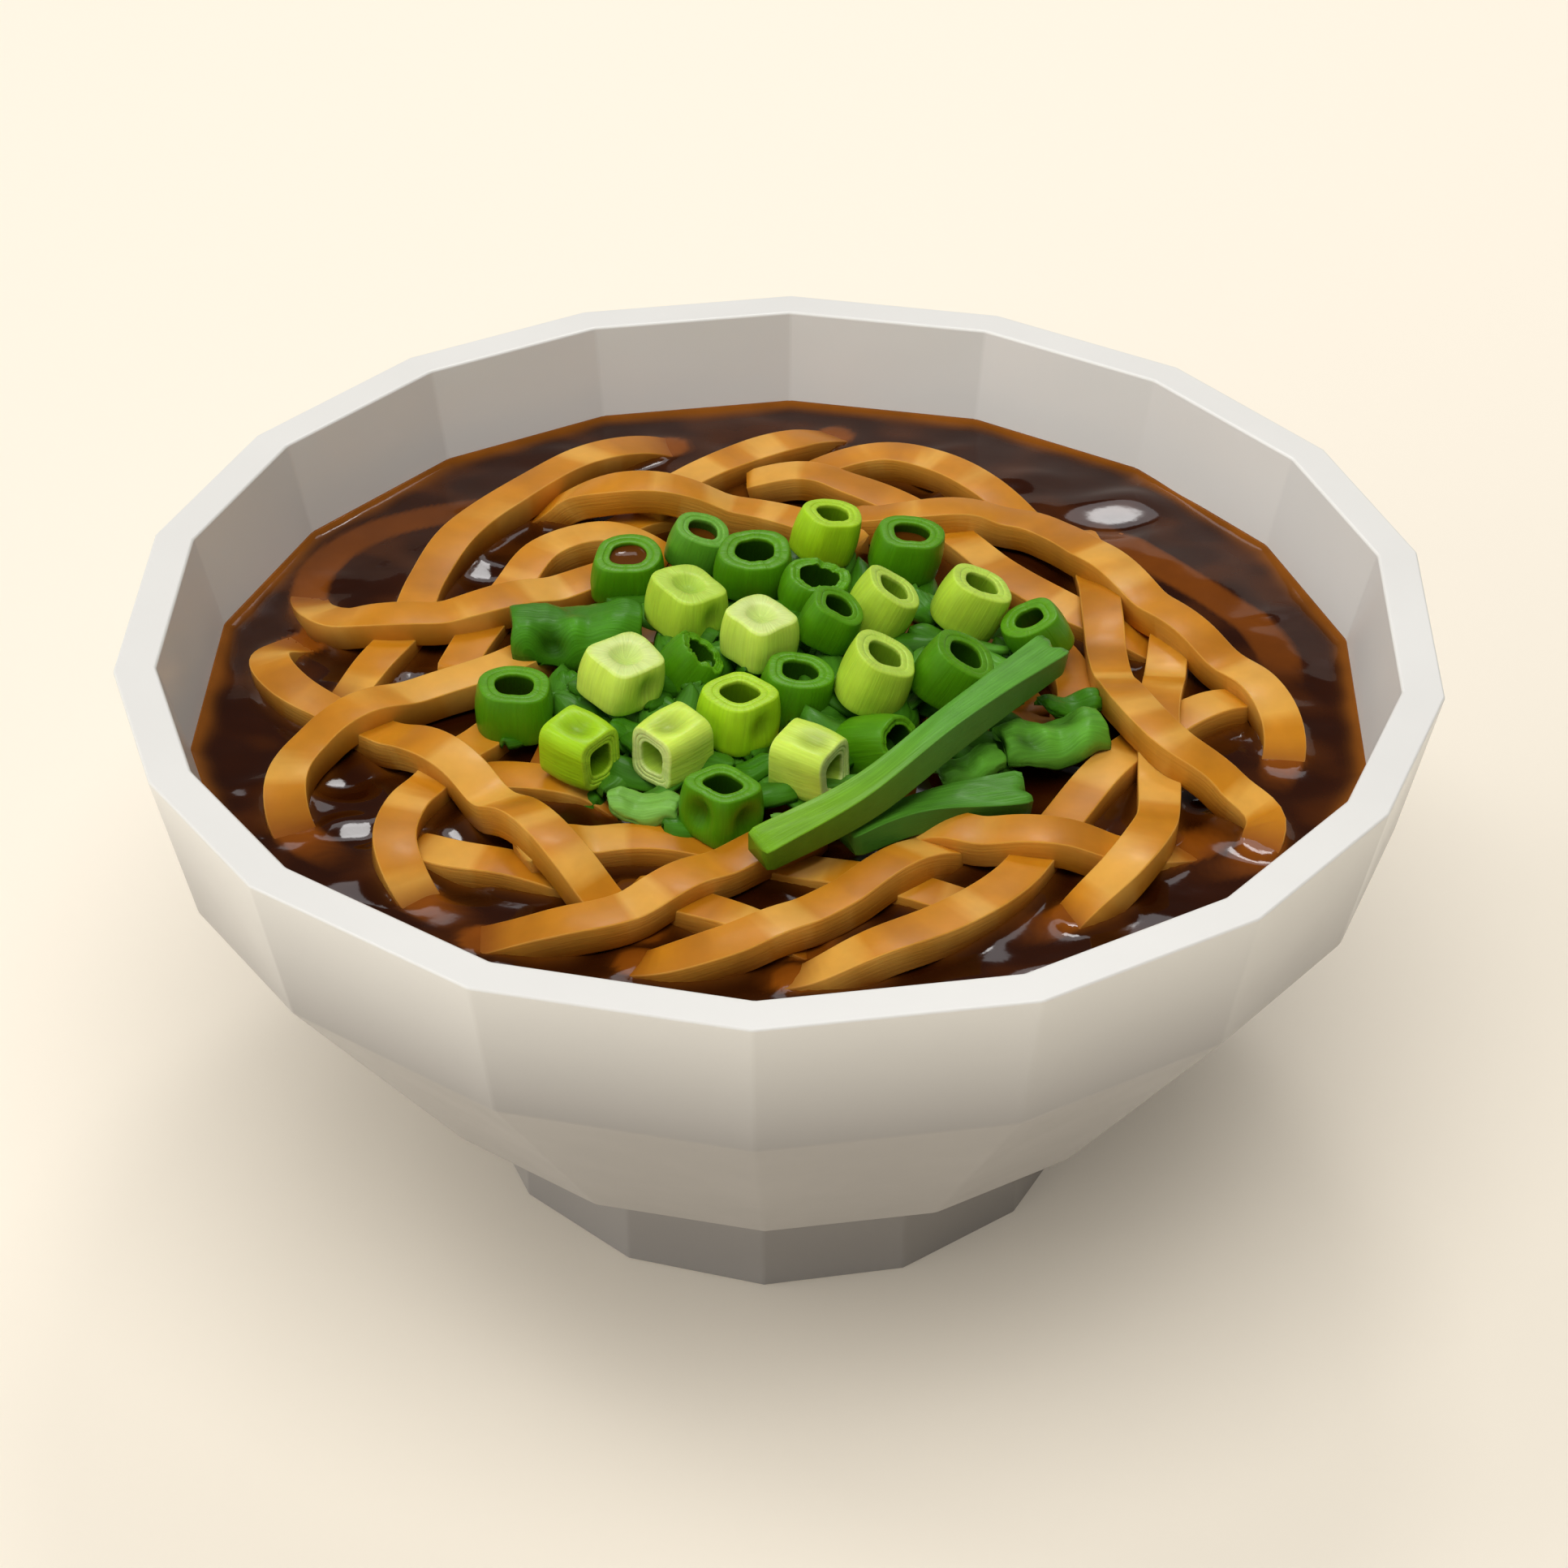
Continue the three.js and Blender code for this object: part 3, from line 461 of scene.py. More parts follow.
class Skin:
    """A material, and the nodes that the materials here are made of."""

    def __init__(self, name, **sockets):
        self.material = bpy.data.materials.new(name)
        self.material.use_nodes = True
        self.nodes = self.material.node_tree.nodes
        self.links = self.material.node_tree.links
        self.shader = self.nodes["Principled BSDF"]
        for socket, value in sockets.items():
            self.shader.inputs[socket.replace("_", " ")].default_value = value

    def add(self, kind, **settings):
        made = self.nodes.new(kind)
        for key, value in settings.items():
            if hasattr(made, key):
                setattr(made, key, value)
            else:
                made.inputs[key.replace("_", " ")].default_value = value
        return made

    def painted(self, name, output):
        """What is painted on the points."""
        return self.add("ShaderNodeAttribute", attribute_name=name).outputs[output]

    def place(self):
        return self.add("ShaderNodeTexCoord").outputs["Object"]

    def noise(self, vector, scale, detail=3.0, roughness=0.5):
        texture = self.add("ShaderNodeTexNoise", Scale=scale, Detail=detail, Roughness=roughness)
        self.links.new(vector, texture.inputs["Vector"])
        return texture.outputs["Fac"]

    def spread(self, value, low, high):
        """Noise, which lies mostly between 0.3 and 0.7, spread from low to high."""
        ranged = self.add("ShaderNodeMapRange", From_Min=0.3, From_Max=0.7, To_Min=low, To_Max=high)
        self.links.new(value, ranged.inputs["Value"])
        return ranged.outputs["Result"]

    def colour(self, factor):
        """Gives the surface its painted colour times a factor."""
        scaled = self.add("ShaderNodeVectorMath", operation="SCALE")
        self.links.new(self.painted("tone", "Color"), scaled.inputs[0])
        self.links.new(factor, scaled.inputs["Scale"])
        self.links.new(scaled.outputs["Vector"], self.shader.inputs["Base Color"])

    def bump(self, height, strength, distance):
        bump = self.add("ShaderNodeBump", Strength=strength, Distance=distance)
        self.links.new(height, bump.inputs["Height"])
        self.links.new(bump.outputs["Normal"], self.shader.inputs["Normal"])


def glaze_material():
    """Stoneware glaze, slightly cloudy and rippled."""
    skin = Skin("bowl_glaze", Roughness=0.32, Coat_Weight=0.25, Coat_Roughness=0.12)
    place = skin.place()
    skin.colour(skin.spread(skin.noise(place, 28.0, 4.0), 0.965, 1.0))
    skin.bump(skin.noise(place, 90.0, 2.0), 0.12, 0.0006)
    rough = skin.spread(skin.noise(place, 60.0), 0.28, 0.38)
    skin.links.new(rough, skin.shader.inputs["Roughness"])
    return skin.material


def toned_material(name, grain_scale, streak, bump_strength, bump_distance, **sockets):
    """A material whose colour is painted on the points, with streaks along the grain."""
    skin = Skin(name, Specular_IOR_Level=0.35, Coat_Weight=0.08, **sockets)
    stretched = skin.add("ShaderNodeMapping", Scale=grain_scale)
    skin.links.new(skin.painted("grain", "Vector"), stretched.inputs["Vector"])
    lines = skin.noise(stretched.outputs["Vector"], 1.0, 3.0, 0.55)
    patches = skin.noise(skin.place(), 260.0)
    both = skin.add("ShaderNodeMath", operation="MULTIPLY")
    skin.links.new(skin.spread(lines, 1 - streak, 1 + streak), both.inputs[0])
    skin.links.new(skin.spread(patches, 1 - SPOTS, 1 + SPOTS), both.inputs[1])
    skin.colour(both.outputs[0])
    skin.bump(lines, bump_strength, bump_distance)
    return skin.material


def gravy_material():
    """Smooth and glossy, a little cloudy with starch."""
    skin = Skin("gravy", Roughness=0.08, IOR=1.42, Specular_IOR_Level=0.34)
    place = skin.place()
    skin.colour(skin.spread(skin.noise(place, 120.0, 4.0), 0.85, 1.15))
    skin.bump(skin.noise(place, 420.0), 0.05, 0.0003)
    return skin.material


# ------------------------------------------------------------------ bowl


def body_corner(index, radius):
    """x and y of one of the bowl's corners."""
    angle = math.radians(FIRST_CORNER - 360 / BODY_SIDES * index + CORNER_NUDGE[index])
    return np.array([radius * math.cos(angle), radius * math.sin(angle)])


def inner_radius(height):
    """Radius of the inner wall at its corners, at a height above the table."""
    low, high = (INNER_FLOOR, INNER_BELLY) if height < INNER_BELLY[1] else (
        INNER_BELLY, (RIM_INNER_RADIUS, RIM_HEIGHT))
    return low[0] + (height - low[1]) / (high[1] - low[1]) * (high[0] - low[0])


def make_bowl(glaze):
    """The faceted bowl on its foot, with softened edges, and its outside and foot painted greyer as shade."""
    shape = Shape()
    rings = np.array([[(*body_corner(index, radius), height) for index in range(BODY_SIDES)][::-1]
                      for radius, height in BODY_RINGS])
    tones = np.empty_like(rings)
    # Painted shade: the outside rings are greyer.
    tones[:OUTSIDE_RINGS] = BOWL_OUTSIDE_SHADED
    tones[OUTSIDE_RINGS:] = BOWL_WHITE
    shape.add_loft(rings, tones, rings)
    angles = np.radians(FOOT_CORNER + 360 / FOOT_SIDES * np.arange(FOOT_SIDES))[::-1]
    foot = np.array([np.stack([radius * np.cos(angles), radius * np.sin(angles),
                               np.full(FOOT_SIDES, float(height))], axis=1) for radius, height in FOOT_RINGS])
    # The foot gets the same painted shade.
    shape.add_plain_loft(foot, BOWL_OUTSIDE_SHADED)
    bowl = shape.make("glazed_bowl", [glaze], smooth=False)
    bevel = bowl.modifiers.new("softened_edges", "BEVEL")
    bevel.width = 0.4 * MM
    bevel.segments = 3
    bevel.limit_method = "ANGLE"
    bevel.angle_limit = math.radians(6)
    bevel.harden_normals = True
    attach(bowl, "root")
    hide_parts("bowl")


# ------------------------------------------------------------------ noodles


def lay_noodles():
    """Each noodle's route as it lies on the ones before it."""
    laid = {}
    earlier = np.empty((0, 3))
    for name, points in NOODLE_ROUTES.items():
        route = rest_on(smooth_route(points, NOODLE_STEP), earlier)
        laid[name] = route
        earlier = np.vstack([earlier, route])
    return laid


def band_section(half_width, half_height, corner, steps=BAND_CORNER_POINTS):
    """A rounded rectangle, anticlockwise seen from the end that the band runs to: the lower two
    corners first, each with so many points."""
    outline = []
    for turn, (sideways, upwards) in enumerate(((1, -1), (-1, -1), (-1, 1), (1, 1))):
        centre_x = sideways * (half_width - corner)
        centre_z = upwards * (half_height - corner)
        for step in range(steps):
            angle = -math.pi / 2 * (turn + step / (steps - 1))
            outline.append((centre_x + corner * math.cos(angle), centre_z + corner * math.sin(angle)))
    return np.array(outline)


def sweep(route, section_at, roll_at):
    """Rings of a section carried along a route, kept level across but for the roll."""
    rings = []
    for index, point in enumerate(route):
        ahead = route[min(index + 1, len(route) - 1)] - route[max(index - 1, 0)]
        ahead = ahead / np.linalg.norm(ahead)
        side = np.array([ahead[1], -ahead[0], 0.0])
        side = side / np.linalg.norm(side)
        up = np.cross(side, ahead)
        roll = roll_at(index)
        tilted_side = side * math.cos(roll) + up * math.sin(roll)
        tilted_up = up * math.cos(roll) - side * math.sin(roll)
        section = section_at(index)
        rings.append(point + section[:, :1] * tilted_side + section[:, 1:] * tilted_up)
    rings = np.array(rings)
    rings[:, :, 2] += GRAVY_LEVEL
    return rings


def noodle_colours(rings, route, along, seed, least_soak_and_shade):
    """Amber, with paler and darker patches as painted light and shade on facets, a painted highlight along
    the upper edges, and brown where it is soaked near the gravy, which is also painted shade there and on its
    lower side.
    """
    above = rings[:, :, 2] - GRAVY_LEVEL
    middle = route[:, 2][:, None]
    # Soaked with gravy near its level, which also stands as painted shade there and on the lower side below
    # the noodle's middle.
    soak_and_shade = 0.9 * (1 - smooth_step(-0.4, 2.6, above)) + 0.16 * smooth_step(0.2, -1.6, above - middle)
    patches = np.array([[0.16 * wobble(x / 7, y / 7, 0, seed) for x, y, z in ring] for ring in rings])
    soak_and_shade = np.clip(np.maximum(soak_and_shade + patches, least_soak_and_shade), 0, 1)
    # Painted light and shade: paler patches stand for facets that catch the light, darker ones for facets
    # turned from it.
    paler = np.array([[wobble(place / 7.5, side / 9, 0, seed + 60) for side in range(rings.shape[1])]
                      for place in along])
    colours = mix(NOODLE_LIGHT, NOODLE_PALE, 0.85 * smooth_step(0.08, 0.26, paler))
    colours = mix(colours, NOODLE_SOAKED_SHADED, 0.3 * smooth_step(-0.05, -0.4, paler))
    # Painted highlight along the upper edges.
    edge_highlight = np.zeros(rings.shape[1])
    edge_highlight[LIT_UPPER_EDGES] = 0.5
    colours = mix(colours, NOODLE_PALE, np.broadcast_to(edge_highlight, colours.shape[:2]))
    return mix(colours, NOODLE_SOAKED_SHADED, soak_and_shade)


def add_noodle(shape, route, seed, least_soak_and_shade=0.0):
    """One noodle, a little uneven in width, thickness and roll."""
    along = way_along(route)

    def section_at(index):
        place = along[index]
        swell = 1 + 0.05 * wobble(place / 12, 0, 0, seed)
        thin = 1 + 0.06 * wobble(place / 15, 3, 0, seed)
        taper = 1 - 0.14 * math.exp(-min(place, along[-1] - place) / 0.5)
        return band_section(NOODLE_WIDTH / 2 * swell * taper, NOODLE_THICKNESS / 2 * thin * taper,
                            BAND_CORNER * taper)

    def roll_at(index):
        return math.radians(NOODLE_ROLL) * wobble(along[index] / 22, 7, 0, seed)

    rings = sweep(route, section_at, roll_at)
    around = np.linspace(0, 18, rings.shape[1])
    shape.add_loft(rings, noodle_colours(rings, route, along, seed, least_soak_and_shade),
                   band_grain(rings, around, along, seed * 31.7))


def mound_height(x, y):
    """Height of the mound's top above the gravy."""
    away = np.hypot((x - MOUND_CENTRE[0]) / MOUND_RADIUS[0], (y - MOUND_CENTRE[1]) / MOUND_RADIUS[1])
    return np.interp(away, [0, 0.2, 0.5, 0.8, 1, 1.6],
                     [MOUND_HEIGHT, MOUND_HEIGHT, 0.8 * MOUND_HEIGHT, 0.45 * MOUND_HEIGHT, 0, -6])


def add_mound(shape, draw):
    """The core under the toppings and the short lengths of noodle that lie on it."""
    angles = np.linspace(0, 2 * math.pi, 96, endpoint=False)
    rings = []
    for share in np.linspace(1.08, 0.02, 14):
        x = MOUND_CENTRE[0] + MOUND_RADIUS[0] * share * np.cos(angles)
        y = MOUND_CENTRE[1] + MOUND_RADIUS[1] * share * np.sin(angles)
        rings.append(np.stack([x, y, GRAVY_LEVEL + mound_height(x, y) - 2.6], axis=1))
    shape.add_plain_loft(np.array(rings), GRAVY_DARK, slot=1)
    for length in range(SOAKED_COUNT):
        angle = draw.uniform(0, 2 * math.pi)
        out = 0.78 * math.sqrt(draw.random())
        x = MOUND_CENTRE[0] + MOUND_RADIUS[0] * out * math.cos(angle)
        y = MOUND_CENTRE[1] + MOUND_RADIUS[1] * out * math.sin(angle)
        heading = draw.uniform(0, 2 * math.pi)
        bend = draw.uniform(-0.05, 0.05)
        points = []
        for _ in range(draw.randint(16, 26)):
            points.append((x, y, mound_height(x, y) - 2.4))
            x += SOAKED_STEP * math.cos(heading)
            y += SOAKED_STEP * math.sin(heading)
            heading += bend * SOAKED_STEP
        # Lengths low in the mound are brown all over, soaked and in painted shade.
        add_noodle(shape, np.array(points, dtype=float), 40 + length, least_soak_and_shade=0.75)


def make_noodles(laid, materials):
    """All noodles and the mound under them, as one piece."""
    shape = Shape()
    for seed, route in enumerate(laid.values(), start=1):
        add_noodle(shape, route, seed)
    add_mound(shape, random.Random(7))
    # The lengths in the gaps are brown, soaked and in painted shade.
    for seed, points in enumerate(SOAKED_LENGTHS, start=90):
        add_noodle(shape, smooth_route(points, 1.0), seed, least_soak_and_shade=0.5)
    piece = shape.make("flat_noodles", materials)
    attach(piece, "root")
    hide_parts("noodles")


# ------------------------------------------------------------------ gravy


def gravy_grid():
    """Rings of points on the gravy's surface that follow the facets of the wall, outside first,
    and how far inside the wall each ring lies."""
    per_facet = 30
    radius = inner_radius(GRAVY_LEVEL)
    corners = [body_corner(index, radius + WALL_GAP) for index in range(BODY_SIDES)][::-1]
    edge = np.array([first + (second - first) * part / per_facet
                     for first, second in zip(corners, corners[1:] + corners[:1])
                     for part in range(per_facet)])
    near_wall = [0, 0.25, 0.5, 0.8, 1.2, 1.7, 2.3, 3.0]
    inward = np.array(near_wall + list(np.arange(3.65, radius - 1, 0.65)))
    return (1 - inward / radius)[:, None, None] * edge[None], inward


def nearest(points, samples, values, chunk=3000):
    """For each point the distance to the nearest sample, and that sample's value."""
    distance = np.empty(len(points))
    value = np.empty(len(points))
    for start in range(0, len(points), chunk):
        part = points[start:start + chunk]
        gaps = np.hypot(part[:, None, 0] - samples[None, :, 0], part[:, None, 1] - samples[None, :, 1])
        best = gaps.argmin(axis=1)
        distance[start:start + chunk] = gaps[np.arange(len(part)), best]
        value[start:start + chunk] = values[best]
    return distance, value


def noodle_ghosts(flat, laid):
    """How far a noodle just under the surface shows through the gravy at each point."""
    shown = np.zeros(len(flat))
    for seed, route in enumerate(laid.values(), start=1):
        along = way_along(route)
        depth = -(route[:, 2] + NOODLE_THICKNESS / 2)
        ends = smooth_step(0, 9, np.minimum(along, along[-1] - along))
        clear = np.exp(-np.clip(depth, 0, None) / GHOST_DEPTH) * np.where(depth > 0.3, ends, 1)
        low = depth > -1.2
        for point, strength, place in zip(route[low], clear[low], along[low]):
            half = NOODLE_WIDTH / 2 * (1 + 0.08 * wobble(place / 9, 5, 0, seed))
            near = np.flatnonzero((np.abs(flat[:, 0] - point[0]) < half + 1)
                                  & (np.abs(flat[:, 1] - point[1]) < half + 1))
            away = np.hypot(flat[near, 0] - point[0], flat[near, 1] - point[1])
            seen = strength * (1 - smooth_step(half - 0.55, half + 0.45, away))
            shown[near] = np.maximum(shown[near], seen)
    return shown


def gravy_heights(flat, wall, beside, strength):
    """How high the gravy stands above its level. It climbs at the wall and at the noodles that
    break through it, and its skin has swells, lumps, slopes and smooth tilted places."""
    climb = 0.75 * strength * np.exp(-beside / 0.9)
    climb += 1.0 * np.exp(-wall / 1.1)
    swell = np.array([0.26 * wobble(x / 13, y / 13, 0, 3) + 0.16 * wobble(x / 5.5, y / 5.5, 0, 4)
                      for x, y in flat])
    for x, y, size in GRAVY_LUMPS:
        away = ((flat[:, 0] - x) / size) ** 2 + ((flat[:, 1] - y - 0.3 * (flat[:, 0] - x)) / 1.6) ** 2
        swell += LUMP_HEIGHT * np.exp(-away)
    for x, y, size, rise in GRAVY_SLOPES:
        across, back = flat[:, 0] - x, flat[:, 1] - y
        swell += rise * (back + 0.2 * across) * np.exp(-((across ** 2 + (1.5 * back) ** 2) / size ** 2) ** 2)
    for x, y, size, rise_x, rise_y in GRAVY_GLINTS:
        across, back = flat[:, 0] - x, flat[:, 1] - y
        skewed = 1.5 * back + 0.5 * math.sin(3 * x) * across
        still = np.exp(-((across ** 2 + skewed ** 2) / size ** 2) ** 2)
        swell = swell * (1 - still) + (rise_x * across + rise_y * back) * still
        climb *= 1 - 0.8 * still
    return climb + swell * (1 - np.exp(-wall / 3))


def gravy_colours(flat, wall, beside, strength, laid):
    """Dark, paler over what is sunk, and amber where it is thin at the wall and the noodles."""
    cloud = np.array([wobble(x / 9, y / 6, 0, 9) for x, y in flat])
    amber = 0.95 * np.exp(-(wall / (1.6 + 0.7 * cloud)) ** 2)
    amber = np.maximum(amber, 0.35 * strength * np.exp(-beside / 0.7))
    murk = 0.14 * smooth_step(0.0, 0.5, cloud)
    colours = mix(GRAVY_DARK, GRAVY_OVER_NOODLE, np.maximum(noodle_ghosts(flat, laid), murk))
    return mix(colours, GRAVY_AMBER, amber)


def make_gravy(laid, material):
    """The gravy, with a surface that reacts to the noodles in it, down to the bowl's floor."""
    grid, inward = gravy_grid()
    rings, spokes = grid.shape[:2]
    flat = grid.reshape(-1, 2)
    wall = np.repeat(inward, spokes)
    samples = np.vstack(list(laid.values()))
    top = samples[:, 2] + NOODLE_THICKNESS / 2
    bottom = samples[:, 2] - NOODLE_THICKNESS / 2
    breaking = (top > 0.1) & (bottom < 0.5)
    reach, level = nearest(flat, samples[breaking], top[breaking])
    strength = np.clip(level / 1.2, 0, 1)
    beside = np.clip(reach - NOODLE_WIDTH / 2, 0, None)
    heights = gravy_heights(flat, wall, beside, strength)
    surface = np.concatenate([flat, (GRAVY_LEVEL + heights)[:, None]], axis=1).reshape(rings, spokes, 3)
    colours = gravy_colours(flat, wall, beside, strength, laid).reshape(rings, spokes, 3)
    below = []
    for height in (INNER_FLOOR[1], INNER_BELLY[1]):
        share = (inner_radius(height) - 0.2) / inner_radius(GRAVY_LEVEL)
        below.append(np.concatenate([grid[0] * share, np.full((spokes, 1), height + 0.1)], axis=1))
    loft = np.concatenate([np.array(below), surface])
    tones = np.concatenate([np.broadcast_to(GRAVY_DARK, (2, spokes, 3)), colours])
    shape = Shape()
    shape.add_loft(loft, tones, loft)
    piece = shape.make("dark_gravy", [material])
    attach(piece, "root")
    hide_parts("gravy")


# ------------------------------------------------------------------ spring onion


STALK_SPOKES = 56
STALK_EDGE = 0.32                   # how far the outer edges are rounded, in mm
OUTSIDE, EDGE, CUT, INSIDE = range(4)
# A layer of the wall at the cut, from outside in: share of the layer, how far down in mm.
LAYER_SHAPE = [(0.04, 0.05), (0.22, 0), (0.5, -0.02), (0.78, 0), (0.93, 0.04), (1, 0.14)]
# The inside of a pit: share of its radius, share of its depth.
PIT_SHAPE = [(0.97, 0.1), (0.88, 0.24), (0.7, 0.58), (0.45, 0.88), (0.2, 1)]


def is_dimple(pit):
    """A pit this shallow is a soft dimple in the cut face."""
    return 0 < pit <= 0.3


def stalk_radius(radius, square, angle, uneven):
    """Reach of a stalk's outline in each direction: round, or squarer, and a little uneven."""
    power = 2 + 3 * square
    spread = np.abs(np.cos(angle)) ** power + np.abs(np.sin(angle)) ** power
    two, three, five, phase = uneven
    wave = 1 + two * np.cos(2 * angle + phase) + three * np.cos(3 * angle + 2 * phase)
    return radius / spread ** (1 / power) * (wave + five * np.cos(5 * angle + 3 * phase))


def stalk_profile(radius, length, hole, pit):
    """(share of the outline, height, kind) round the wall's section, from the foot of the
    outside, and the hole's share of the radius. kind is OUTSIDE, EDGE, CUT or INSIDE."""
    half = length / 2
    edge = STALK_EDGE
    start = 1 - edge / radius
    profile = [(1.0, height, OUTSIDE) for height in np.linspace(-half + edge, half - edge, 9)]
    for turn in (0.3, 0.65):
        bend = turn * math.pi / 2
        profile.append((1 - edge / radius * (1 - math.cos(bend)), half - edge + edge * math.sin(bend), EDGE))
    if is_dimple(pit):
        inner = 0.5
        for share, lower in ((0.86, 0.0), (0.7, 0.0), (0.55, 0.05)):
            profile.append((share, half - lower, CUT))
    else:
        inner = hole
        layers = 3 if pit else 2
        for layer in range(layers):
            outer_share = start + (inner - start) * layer / layers
            inner_share = start + (inner - start) * (layer + 1) / layers
            drop = 0.07 * layer
            for part, lower in LAYER_SHAPE:
                profile.append((outer_share + (inner_share - outer_share) * part, half - drop - lower, CUT))
    foot = [(start, -half, CUT), (1 - 0.3 * edge / radius, -half + 0.1, EDGE)]
    if pit:
        depth = max(pit * length, 0.7)
        for share, drop in PIT_SHAPE:
            profile.append((inner * share, half - 0.14 - depth * drop, INSIDE))
        return [(0.3, -half, CUT)] + foot + profile, inner
    for height in np.linspace(half - 0.8, -half + 0.5, 7):
        profile.append((inner * 0.985, height, INSIDE))
    return profile + [(inner, -half + 0.2, INSIDE), (inner + 0.08, -half, CUT)] + foot, inner


def stalk_tone(spec, kind, share, height, inner, vein):
    """The colours round one ring of a stalk."""
    outside, cut, inside = STALK_COLOURS[spec["green"]]
    half = spec["length"] / 2
    if kind == OUTSIDE:
        return mix(outside, cut, 0.16 * vein)
    if kind == CUT:
        layer_shade = 0.5 + 0.5 * math.cos((share - inner) * 26)
        return mix(outside, cut, np.full(STALK_SPOKES, 0.86 + 0.14 * layer_shade))
    if kind == EDGE:
        return mix(outside, cut, np.full(STALK_SPOKES, 0.5))
    # Painted shade: a dimple darkens towards its middle.
    if is_dimple(spec["pit"]):
        return mix(cut, inside, np.full(STALK_SPOKES, 0.2 + 0.5 * (1 - share / inner)))
    # Painted shade: the hole darkens further down.
    deep = smooth_step(half, -half * 0.6, height)
    return mix(inside, np.array(inside) * 0.62, np.full(STALK_SPOKES, float(deep)))


def dent_surface(points, colours, spec):
    """Presses hollows into the side of a stalk, and darkens them with painted shade."""
    radius, length = spec["across"] / 2, spec["length"]
    angle = np.linspace(0, 2 * math.pi, STALK_SPOKES, endpoint=False)
    outward = np.stack([np.cos(angle), np.sin(angle), np.zeros(STALK_SPOKES)], axis=1)[None]
    for turn, share, depth in spec["dents"]:
        turned = math.radians(turn)
        centre = np.array([radius * math.cos(turned), radius * math.sin(turned), (share - 0.5) * length])
        away = np.linalg.norm(points - centre, axis=-1)
        push = np.exp(-(away / (0.27 * length)) ** 3)
        points = points - outward * depth * push[..., None]
        # Painted shade in the hollow.
        colours = colours * (1 - 0.4 * push[..., None])
    return points, colours


def stalk_rings(spec, seed):
    """Rings, colours and grain of a stalk that stands upright, and the outline of its hole."""
    radius, length = spec["across"] / 2, spec["length"]
    half = length / 2
    draw = random.Random(seed)
    uneven = (draw.uniform(0.02, 0.05), draw.uniform(0.01, 0.035), draw.uniform(0.0, 0.02),
              draw.uniform(0, 6.28))
    lopsided = uneven[3]
    profile, inner = stalk_profile(radius, length, spec["hole"], spec["pit"])
    angle = np.linspace(0, 2 * math.pi, STALK_SPOKES, endpoint=False)
    outline = stalk_radius(radius, spec["square"], angle, uneven)
    hole_square = 0.1 if is_dimple(spec["pit"]) else 0.1 + 0.4 * spec["square"]
    round_hole = stalk_radius(radius, hole_square, angle, uneven)
    torn = np.array([0.5 + 0.5 * wobble(2.2 * math.cos(a), 2.2 * math.sin(a), 0, seed + 9)
                     + 0.35 * wobble(6 * math.cos(a), 6 * math.sin(a), 0, seed + 5) for a in angle])
    rings, colours, grains = [], [], []
    along = 0.0
    for share, height, kind in profile:
        toward_hole = smooth_step(1.0, inner, share)
        reach = (outline * (1 - toward_hole) + round_hole * toward_hole) * share
        level = height / half
        belly = 1.03 - 0.09 * max(level + 0.25, 0) ** 2 / 1.25 - 0.05 * max(-0.25 - level, 0)
        skew = 0.35 * (height / length)
        x = reach * belly * np.cos(angle) + skew * math.cos(lopsided)
        y = reach * belly * np.sin(angle) + skew * math.sin(lopsided)
        slant = 0.22 * (height / half) * np.cos(angle + lopsided) * reach / radius
        tear = spec["ragged"] * torn * max(level, 0) ** 2 * (1.3 if share < 0.9 else 1)
        rings.append(np.stack([x, y, height + slant - tear], axis=1))
        if len(rings) > 1:
            along += np.linalg.norm(rings[-1] - rings[-2], axis=1).mean()
        vein = np.array([0.5 + 0.5 * wobble(a * 5, height / 9, 0, seed) for a in angle])
        colours.append(stalk_tone(spec, kind, share, height, inner, vein))
        grains.append(np.stack([angle * radius * 1.6, np.full(STALK_SPOKES, along),
                                np.full(STALK_SPOKES, seed * 13.1)], axis=1))
    hole = np.stack([round_hole * inner * np.cos(angle), round_hole * inner * np.sin(angle)], axis=1)
    return np.array(rings), np.array(colours), np.array(grains), hole


def add_film(shape, hole, top):
    """Gravy that stands in a stalk's hole up to the height top."""
    film = np.concatenate([hole * 1.05, np.full((len(hole), 1), top)], axis=1)
    pool = np.array([film - (0, 0, 0.9), film, film * (0.8, 0.8, 1) - (0, 0, 0.4),
                     film * (0.4, 0.4, 1) - (0, 0, 0.6)])
    shape.add_plain_loft(pool, GRAVY_FILM, slot=1)


def make_stalk(name, spec, materials, seed):
    """A cut piece of spring onion, with gravy in its hole where it has a film."""
    rings, colours, grains, hole = stalk_rings(spec, seed)
    rings, colours = dent_surface(rings, colours, spec)
    shape = Shape()
    shape.add_loft(rings, colours, grains, joins_itself=not spec["pit"])
    if spec["film"]:
        add_film(shape, hole, spec["length"] / 2 - spec["film"])
    lean, tilt, turn = (math.radians(spec[key]) for key in ("lean", "tilt", "turn"))
    upright = Quaternion((0, 0, 1), lean + turn)
    over = Quaternion((-math.sin(lean), math.cos(lean), 0), tilt)
    shape.set_down(spec["at"], (over @ upright).to_matrix().to_4x4())
    piece = shape.make("cut_" + name, materials)
    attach(piece, "root")
    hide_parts(name)
    return piece


